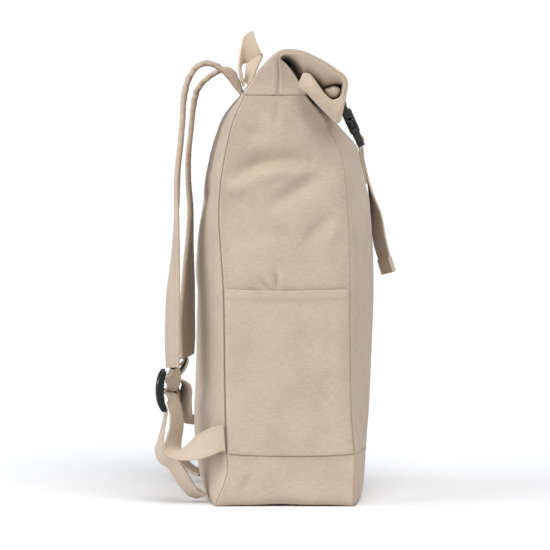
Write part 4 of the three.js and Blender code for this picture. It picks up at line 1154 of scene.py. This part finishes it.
for side, sign, cy, cz in (("left", -1, 1, 2), ("right", 1, 3, 4)):
    rows = dense(STRAP, 7)
    pts = np.stack([sign * rows[:, 0], rows[:, cy], rows[:, cz]], -1)
    wide = across(-sign * rows[:, 6])
    length = arc(pts)
    total = length[-1]
    bend = np.exp(-(((length - 62) / 44) ** 2)) + 0.35 * np.exp(-(((length - 190) / 90) ** 2))

    def ripple(l, u, bend=bend, length=length, side=side):
        amp = np.interp(l[:, 0], length, bend)[:, None]
        ph = 0.0 if side == "left" else 1.3
        wave = np.sin(2 * PI * l / 9.6 + ph + 1.2 * np.sin(l / 17)) + 0.4 * np.sin(2 * PI * l / 5.3 + 2)
        return 0.62 * amp * wave * np.abs(u) ** 3 + 0.5 * noise2(l / 34, u * 1.2 + 3, 71 if side == "left" else 77) * np.abs(u) ** 1.5

    thick = STRAP_T * np.interp(length, [0, 5, 12, 24, total - 14, total - 12.5, total], [0.5, 0.62, 0.85, 1, 1, 0.86, 0.82])
    w, _ = ribbon(pts, wide, rows[:, 5], thick, padded=True, seed=5 if side == "left" else 8, ripple=ripple)
    uv = w[2].copy()
    extra = 0.3 * np.exp(-(((uv[:, 1] - (total - 12)) / 0.9) ** 2)) + 0.2 * np.exp(-((uv[:, 1] - total) / 0.8) ** 2)
    strap = make("shoulder_strap_" + side, w[0], w[1], M_STRAP, uv, np.clip(w[3] + extra, 0, 1),
                 nodes=("shoulder_strap_" + side,), slot="canvas")
    t, wd, nn = frames(pts, wide)
    lines = []
    for face in (1, -1):
        for edge in (1, -1):
            keep = slice(8, len(pts) - 12)
            u = edge * (rows[keep, 5] / 2 - 3.7)
            h = face * (thick[keep] / 2 * 0.985 - 0.62 + 0.12)
            rip = ripple(np.broadcast_to(length[keep][:, None], (len(u), 1)), (u / (rows[keep, 5] / 2))[:, None])[:, 0]
            lines.append((pts[keep] + wd[keep] * u[:, None] + nn[keep] * (h + rip)[:, None], nn[keep] * face))
        # two rows across the stitched end
        for back_by in (4.0, 10.5):
            k = int(np.argmin(np.abs(length - (total - back_by))))
            span = np.linspace(-rows[k, 5] / 2 + 4.5, rows[k, 5] / 2 - 4.5, 24)
            line = pts[k] + wd[k] * span[:, None] + nn[k] * face * (thick[k] / 2 + 0.06)
            lines.append((line, np.repeat(nn[k][None] * face, 24, 0)))
    thread_piece("strap_stitching_" + side, lines)

    # the ladder lock
    ly, lz = LOCK_AT[side]
    az = math.radians(-sign * LOCK_AZ)
    out_dir = np.array([-math.sin(az), math.cos(az), 0.0])
    along_dir = np.array([math.cos(az), math.sin(az), 0.0])
    origin = np.array([sign * LOCK_X, ly, lz])

    def at_lock(x, p, q):
        x, p, q = np.broadcast_arrays(np.asarray(x, float), p, q)
        return origin + along_dir * x[..., None] + out_dir * p[..., None] - np.array([0, 0, 1.0]) * q[..., None]

    prof = dense(LOCK_PROFILE, 5)
    ring = np.vstack([prof[:, [2, 0]], prof[::-1][:, [1, 0]]])
    parts = []
    for edge in (-1, 1):
        x0 = LOCK_CLEAR / 2 if edge > 0 else -LOCK_CLEAR / 2 - LOCK_RAIL
        parts.append(rail(ring, x0, x0 + LOCK_RAIL, lambda x, p, q: at_lock(x, p, q)))
    for q, p, r in LOCK_BARS:
        a, b = at_lock(-LOCK_CLEAR / 2 - 0.6, p, q), at_lock(LOCK_CLEAR / 2 + 0.6, p, q)
        parts.append(bar(a, b, r, 0.9))
    v, f, uv, seam = merge(outward(parts))
    make("ladder_lock_" + side, v, f, M_LOCK_SHADED, uv, seam, smooth=40, nodes=("ladder_lock_" + side,), slot="plastic")

    # the webbing through its upper slot, back into the strap end
    loop = dense(LOOP if side == "left" else LOOP_FAR, 8)
    lp = at_lock(0.0, loop[:, 0], loop[:, 1])
    if side == "right":
        loop[:, 2] *= 0.3
    w, _ = ribbon(lp, across(-sign * loop[:, 2]), WEB_W, WEB_T)
    make("strap_loop_" + side, w[0], w[1], M_WEB, w[2], w[3], nodes=("strap_loop_" + side,), slot="webbing")

    # the lower webbing: out of the corner seam, over the lock's bar, free tail
    place = lambda r: [sign * r[0], r[cy], r[cz], *across(-sign * r[5], -sign * r[6])]
    slot_rows = [[*at_lock(0.0, p, q), *across(-sign * a)] for p, q, a in THROUGH]
    turn = 1.0 if side == "left" else 0.3
    table = [place(r) for r in LOWER] + slot_rows + [place([*r[:5], r[5] * turn, r[6] * turn]) for r in TAIL]
    rows = dense(table, 8)
    length = arc(rows[:, :3])
    total = length[-1]
    thick = WEB_T * np.interp(length, [0, total - 13.5, total - 12.6, total], [1, 1, 1.85, 1.85])
    wave = lambda l, u, total=total: 0.35 * noise2(l / 21, u * 0.8, 83) * (0.4 + np.abs(u)) * np.clip((l - 20) / 20, 0, 1)
    w, _ = ribbon(rows[:, :3], rows[:, 3:6], WEB_W, thick, ripple=wave)
    # a darker line where the hem's fold begins: painted shade at the step
    hem = 0.55 * np.exp(-(((w[2][:, 1] - (total - 12.9)) / 0.6) ** 2))
    make("lower_webbing_" + side, w[0], w[1], M_WEB, w[2], np.clip(w[3] + hem, 0, 1), nodes=("lower_webbing_" + side,), slot="webbing")
    t, wd, nn = frames(rows[:, :3], rows[:, 3:6])
    lines = []
    for face in (1, -1):
        for back_by in (3.0, 10.0):
            k = int(np.argmin(np.abs(length - (total - back_by))))
            span = np.linspace(-9.5, 9.5, 12)
            lines.append((rows[k, :3] + wd[k] * span[:, None] + nn[k] * face * (thick[k] / 2 + 0.1), np.repeat(nn[k][None] * face, 12, 0)))
    thread_piece("tail_stitching_" + side, lines, pitch=2.6, long=1.9, thick=0.3)

# ---------------------------------------------------------------- grab handle
rows = dense(HANDLE, 9)
w, _ = ribbon(rows[:, :3], across(rows[:, 3], rows[:, 4]), WEB_W, WEB_T, ripple=lambda l, u: 0.3 * noise2(l / 16, u, 91) * np.abs(u))
make("grab_handle", w[0], w[1], M_HANDLE_LIT, w[2], w[3], nodes=("grab_handle",), slot="webbing")

# ---------------------------------------------------------------- closure
tilt = math.radians(BUCKLE_TILT)


def on_buckle(x, o, q):
    """x across, o outward, q down from the buckle's top."""
    x, o, q = np.broadcast_arrays(np.asarray(x, float), o, q)
    y = BUCKLE_TOP[0] - o * math.cos(tilt) - q * math.sin(tilt)
    z = BUCKLE_TOP[1] + o * math.sin(tilt) - q * math.cos(tilt)
    return np.stack([x, y, z], -1)


def soft_box(sections, power=5.0, sides=48, centre=(0.0, 0.0)):
    """Rounded-rectangle sections along the buckle: q, width, thickness."""
    ang = np.linspace(0, 2 * PI, sides, endpoint=False)
    c, s = np.cos(ang), np.sin(ang)
    k = (np.abs(c) ** power + np.abs(s) ** power) ** (-1 / power)
    out = []
    for q, wide, thick in sections:
        out.append(on_buckle(centre[0] + c * k * wide / 2, centre[1] + s * k * thick / 2, q + 0 * c))
    return tube(np.array(out))


def cut(obj, cutters):
    """Boolean cuts, applied."""
    for c in cutters:
        mod = obj.modifiers.new("cut", "BOOLEAN")
        mod.operation, mod.solver, mod.object = "DIFFERENCE", "EXACT", c
        bpy.context.view_layer.objects.active = obj
        obj.select_set(True)
        bpy.ops.object.modifier_apply(modifier=mod.name)
        obj.select_set(False)
        bpy.data.objects.remove(c, do_unlink=True)


def plain(name, part):
    """A helper object for a cut."""
    v, f = outward([part])[0][:2]
    mesh = bpy.data.meshes.new(name)
    mesh.from_pydata((v * MM).tolist(), [], f)
    obj = bpy.data.objects.new(name, mesh)
    bpy.context.scene.collection.objects.link(obj)
    return obj


def finish_hard(obj, name, extra, nodes):
    """Adds more closed parts to a cut body and gives it its material."""
    mesh = obj.data
    body_v = np.array([v.co[:] for v in mesh.vertices]) / MM
    body_f = [list(p.vertices) for p in mesh.polygons]
    bpy.data.objects.remove(obj, do_unlink=True)
    v, f, uv, seam = merge([(body_v, body_f, None, None)] + outward(extra))
    mesh = bpy.data.meshes.new(name)
    mesh.from_pydata((v * MM).tolist(), [], f)
    mesh.validate()
    mesh.attributes.new("seam", "FLOAT", "POINT")
    mesh.shade_smooth()
    mesh.set_sharp_from_angle(angle=math.radians(32))
    mesh.materials.append(M_PLASTIC)
    made = bpy.data.objects.new(name, mesh)
    bpy.context.scene.collection.objects.link(made)
    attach(made, "root")
    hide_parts(*nodes)
    return made


F0 = 9.0
shell = plain("female_shell", soft_box([
    [F0, 28.5, 7.6], [F0 + 0.4, 31.0, 9.2], [F0 + 1.4, 32.6, 10.2], [F0 + 4, 33, 10.4],
    [F0 + 10, 33, 10.4], [F0 + 20, 32.8, 10.3], [F0 + 23.2, 32.4, 10.0], [F0 + 24.4, 31.6, 9.4], [F0 + 24.9, 30.2, 8.4]], power=6.5, sides=72))
cut(shell, [
    plain("c1", soft_box([[FEMALE_LEN - 19, 27, 6.2], [FEMALE_LEN + 4, 27, 6.2]], power=9)),
    plain("c2", soft_box([[17.5, 36, 3.4], [18.2, 36, 5.2], [20, 36, 5.8], [26.5, 36, 5.8], [28.3, 36, 5.2], [29, 36, 3.4]], power=9)),
    plain("c3", soft_box([[12.6, 17, 2.0], [13.2, 19, 2.0], [14.4, 19, 2.0], [15, 17, 2.0]], power=4, centre=(0.0, 5.9))),
])
extra = [
    soft_box([[0.2, 2.8, 4.0], [0.8, 3.6, 5.0], [4, 3.6, 5.2], [F0 + 1.5, 3.8, 6.2]], power=4, sides=24, centre=(-14.6, 0)),
    soft_box([[0.2, 2.8, 4.0], [0.8, 3.6, 5.0], [4, 3.6, 5.2], [F0 + 1.5, 3.8, 6.2]], power=4, sides=24, centre=(14.6, 0)),
    bar(on_buckle(-15.6, 0.5, 1.5), on_buckle(15.6, 0.5, 1.5), 1.35),
    # the stop in the middle of its hollow
    soft_box([[14.6, 9.4, 6.6], [15.2, 10.0, 6.8], [19.6, 10.0, 6.8], [20.2, 9.4, 6.6]], power=5, sides=24),
    # a raised rim along the outer face
    soft_box([[F0 + 2.2, 24, 0.9], [F0 + 2.5, 25, 1.0], [F0 + 3.1, 25, 1.0], [F0 + 3.4, 24, 0.9]], power=4, sides=24, centre=(0, 5.1)),
]
finish_hard(shell, "buckle_female", extra, ("buckle_female",))

M0 = FEMALE_LEN + 0.3
block = plain("male_block", soft_box([
    [M0, 28.6, 6.4], [M0 + 0.3, 30.2, 7.4], [M0 + 1.0, 31, 8.0], [M0 + 3.2, 31, 8.0], [M0 + 7, 30.6, 7.6],
    [M0 + 12.6, 30.2, 7.0], [M0 + 13.6, 29.4, 6.2], [M0 + 14, 28.2, 5.2]], power=6, sides=64))
cut(block, [plain("c4", soft_box([[M0 + 3.4, 24.8, 14], [M0 + 3.9, 25.6, 14], [M0 + 20, 25.6, 14]], power=8))])
extra = [
    bar(on_buckle(-13.6, 0.9, M0 + 8.1), on_buckle(13.6, 0.9, M0 + 8.1), 1.15),
    bar(on_buckle(-13.6, 2.6, M0 + 13.0), on_buckle(13.6, 2.6, M0 + 13.0), 1.0),
]
# the guide between the two prongs
extra.append(soft_box([[M0 - 13.6, 3.6, 4.6], [M0 - 13.0, 4.4, 5.6], [M0 + 0.8, 5.0, 5.6]], power=5, sides=28))
for edge in (-1, 1):
    extra.append(soft_box([[M0 - 14, 3.0, 3.4], [M0 - 13.2, 4.6, 4.8], [M0 - 10, 5.4, 5.0], [M0 - 5, 5.2, 5.0], [M0 + 0.8, 4.6, 5.0]],
                          power=4, sides=28, centre=(edge * 10.2, 0)))
    # the squeeze pad that shows in the side window
    extra.append(soft_box([[M0 - 14.6, 1.6, 3.2], [M0 - 13.8, 2.8, 4.4], [M0 - 10, 3.4, 5.0], [M0 - 6.6, 2.8, 4.4], [M0 - 5.8, 1.6, 3.2]],
                          power=3, sides=28, centre=(edge * 14.2, 0)))
finish_hard(block, "buckle_male", extra, ("buckle_male",))

rows = dense(ROLL_WEB, 8)
pts = np.column_stack([np.zeros(len(rows)), rows])
w, _ = ribbon(pts, np.tile([1.0, 0, 0], (len(pts), 1)), WEB_W, WEB_T)
make("roll_webbing", w[0], w[1], M_WEB, w[2], w[3], nodes=("roll_webbing",), slot="webbing")

over = []
for o, q in OVER_BAR:
    p = on_buckle(0.0, o, FEMALE_LEN + 0.35 + q)
    over.append([0.0, p[1], p[2], 0.0])
rows = dense([[0, y, z, 0] for y, z in ANCHOR] + over + FREE_TAIL, 8)
length = arc(rows[:, :3])
total = length[-1]
w, _ = ribbon(rows[:, :3], across(rows[:, 3]), WEB_W, WEB_T,
              ripple=lambda l, u: (0.7 * noise2(l / 24, u * 0.7, 95) * (0.3 + np.abs(u))) * np.clip((l - 95) / 20, 0, 1) * np.clip((total - l) / 12, 0, 1))
hem = dense(TAIL_HEM, 8)
hw, _ = ribbon(hem[:, :3], across(hem[:, 3]), WEB_W + 0.3, WEB_T * 2.4)
v, f, uv, seam = merge(outward([w, hw]))
make("closure_webbing", v, f, M_WEB, uv, seam, nodes=("closure_webbing",), slot="webbing")
t, wd, nn = frames(hem[:, :3], across(hem[:, 3]))
lines = []
for face in (1, -1):
    for k in (4, 13):
        span = np.linspace(-10.5, 10.5, 12)
        lines.append((hem[k, :3] + wd[k] * span[:, None] + nn[k] * face * (WEB_T * 1.2 + 0.1), np.repeat(nn[k][None] * face, 12, 0)))
anchor = dense([[0, y, z, 0] for y, z in ANCHOR], 8)
t, wd, nn = frames(anchor[:, :3], across(anchor[:, 3]))
face = 1 if nn[0][1] < 0 else -1
off = nn * face * (WEB_T / 2 + 0.1)
for u in (-10.2, 10.2):
    lines.append((anchor[1:16, :3] + wd[1:16] * u + off[1:16], nn[1:16] * face))
for k in (1, 15):
    span = np.linspace(-10.2, 10.2, 12)
    lines.append((anchor[k, :3] + wd[k] * span[:, None] + off[k], np.repeat(nn[k][None] * face, 12, 0)))
span = np.linspace(-1, 1, 12)
for d in (1, -1):
    u = span * 10.2 * d
    k = np.linspace(1, 15, 12)
    p = np.stack([np.interp(k, np.arange(len(anchor)), anchor[:, j]) for j in range(3)], -1)
    lines.append((p + wd[1:2] * u[:, None] + off[8], np.repeat(nn[8][None] * face, 12, 0)))
thread_piece("closure_stitching", lines, pitch=2.7, long=2.0, thick=0.3)

# ---------------------------------------------------------------- topstitching
lines = []
for sign in (-1, 1):
    s = np.linspace(-0.955, 0.955, 90)
    z = seam_z(s, True) - 3.3
    p = side_point(sign, s, z, 0.0, 0.0)
    p[:, 0] += sign * 0.16
    lines.append((p, np.tile([sign, 0.0, 0.0], (90, 1))))
for which, d in (("back", 1), ("front", -1)):
    s = np.linspace(-0.985, 0.985, 160)
    z = 0 * s + BASE_SEAM_Z - 3.3
    p = face_point(which, s, z, 0.0, 0.0)
    p[:, 1] += d * 0.16
    lines.append((p, np.tile([0.0, d, 0.0], (160, 1))))
thread_piece("base_stitching", lines)
lines = []
for sign in (-1, 1):
    s = np.linspace(-0.95, 0.95, 90)
    v = np.full_like(s, 1 - 9.2 / 161)
    p, _, _ = pocket_point(sign, s, v, 1.2)
    p[:, 0] += sign * 0.1
    lines.append((p, np.tile([sign, 0.0, 0.0], (90, 1))))
thread_piece("pocket_stitching", lines, thick=0.3)

# ---------------------------------------------------------------- stage and light
mat, tree, shader = nodes_of("floor")
shader.inputs["Base Color"].default_value = (0.86, 0.875, 0.9, 1)
shader.inputs["Roughness"].default_value = 0.75
mesh = bpy.data.meshes.new("floor")
mesh.from_pydata([(-4000, -4000, 0), (4000, -4000, 0), (4000, 4000, 0), (-4000, 4000, 0)], [], [(0, 1, 2, 3)])
mesh.materials.append(mat)
floor = bpy.data.objects.new("floor", mesh)
floor.location.z = -0.0004
bpy.context.scene.collection.objects.link(floor)

world = bpy.data.worlds.new("studio")
world.use_nodes = True
world.node_tree.nodes["Background"].inputs[0].default_value = (0.965, 0.98, 1.0, 1)
world.node_tree.nodes["Background"].inputs[1].default_value = 0.47
bpy.context.scene.world = world


def sun(name, towards, strength, angle, rgb=(1, 1, 1)):
    data = bpy.data.lights.new(name, "SUN")
    data.energy, data.angle, data.color = strength * PI, math.radians(angle), rgb
    obj = bpy.data.objects.new(name, data)
    obj.rotation_euler = Vector(towards).to_track_quat("-Z", "Y").to_euler()
    bpy.context.scene.collection.objects.link(obj)


sun("key", (0.51, 0.16, -0.85), 0.74, 44, (1.0, 0.985, 0.965))
sun("fill", (0.36, -0.92, -0.16), 0.80, 60, (0.99, 0.99, 1.0))
bpy.context.scene.view_settings.view_transform = "Standard"
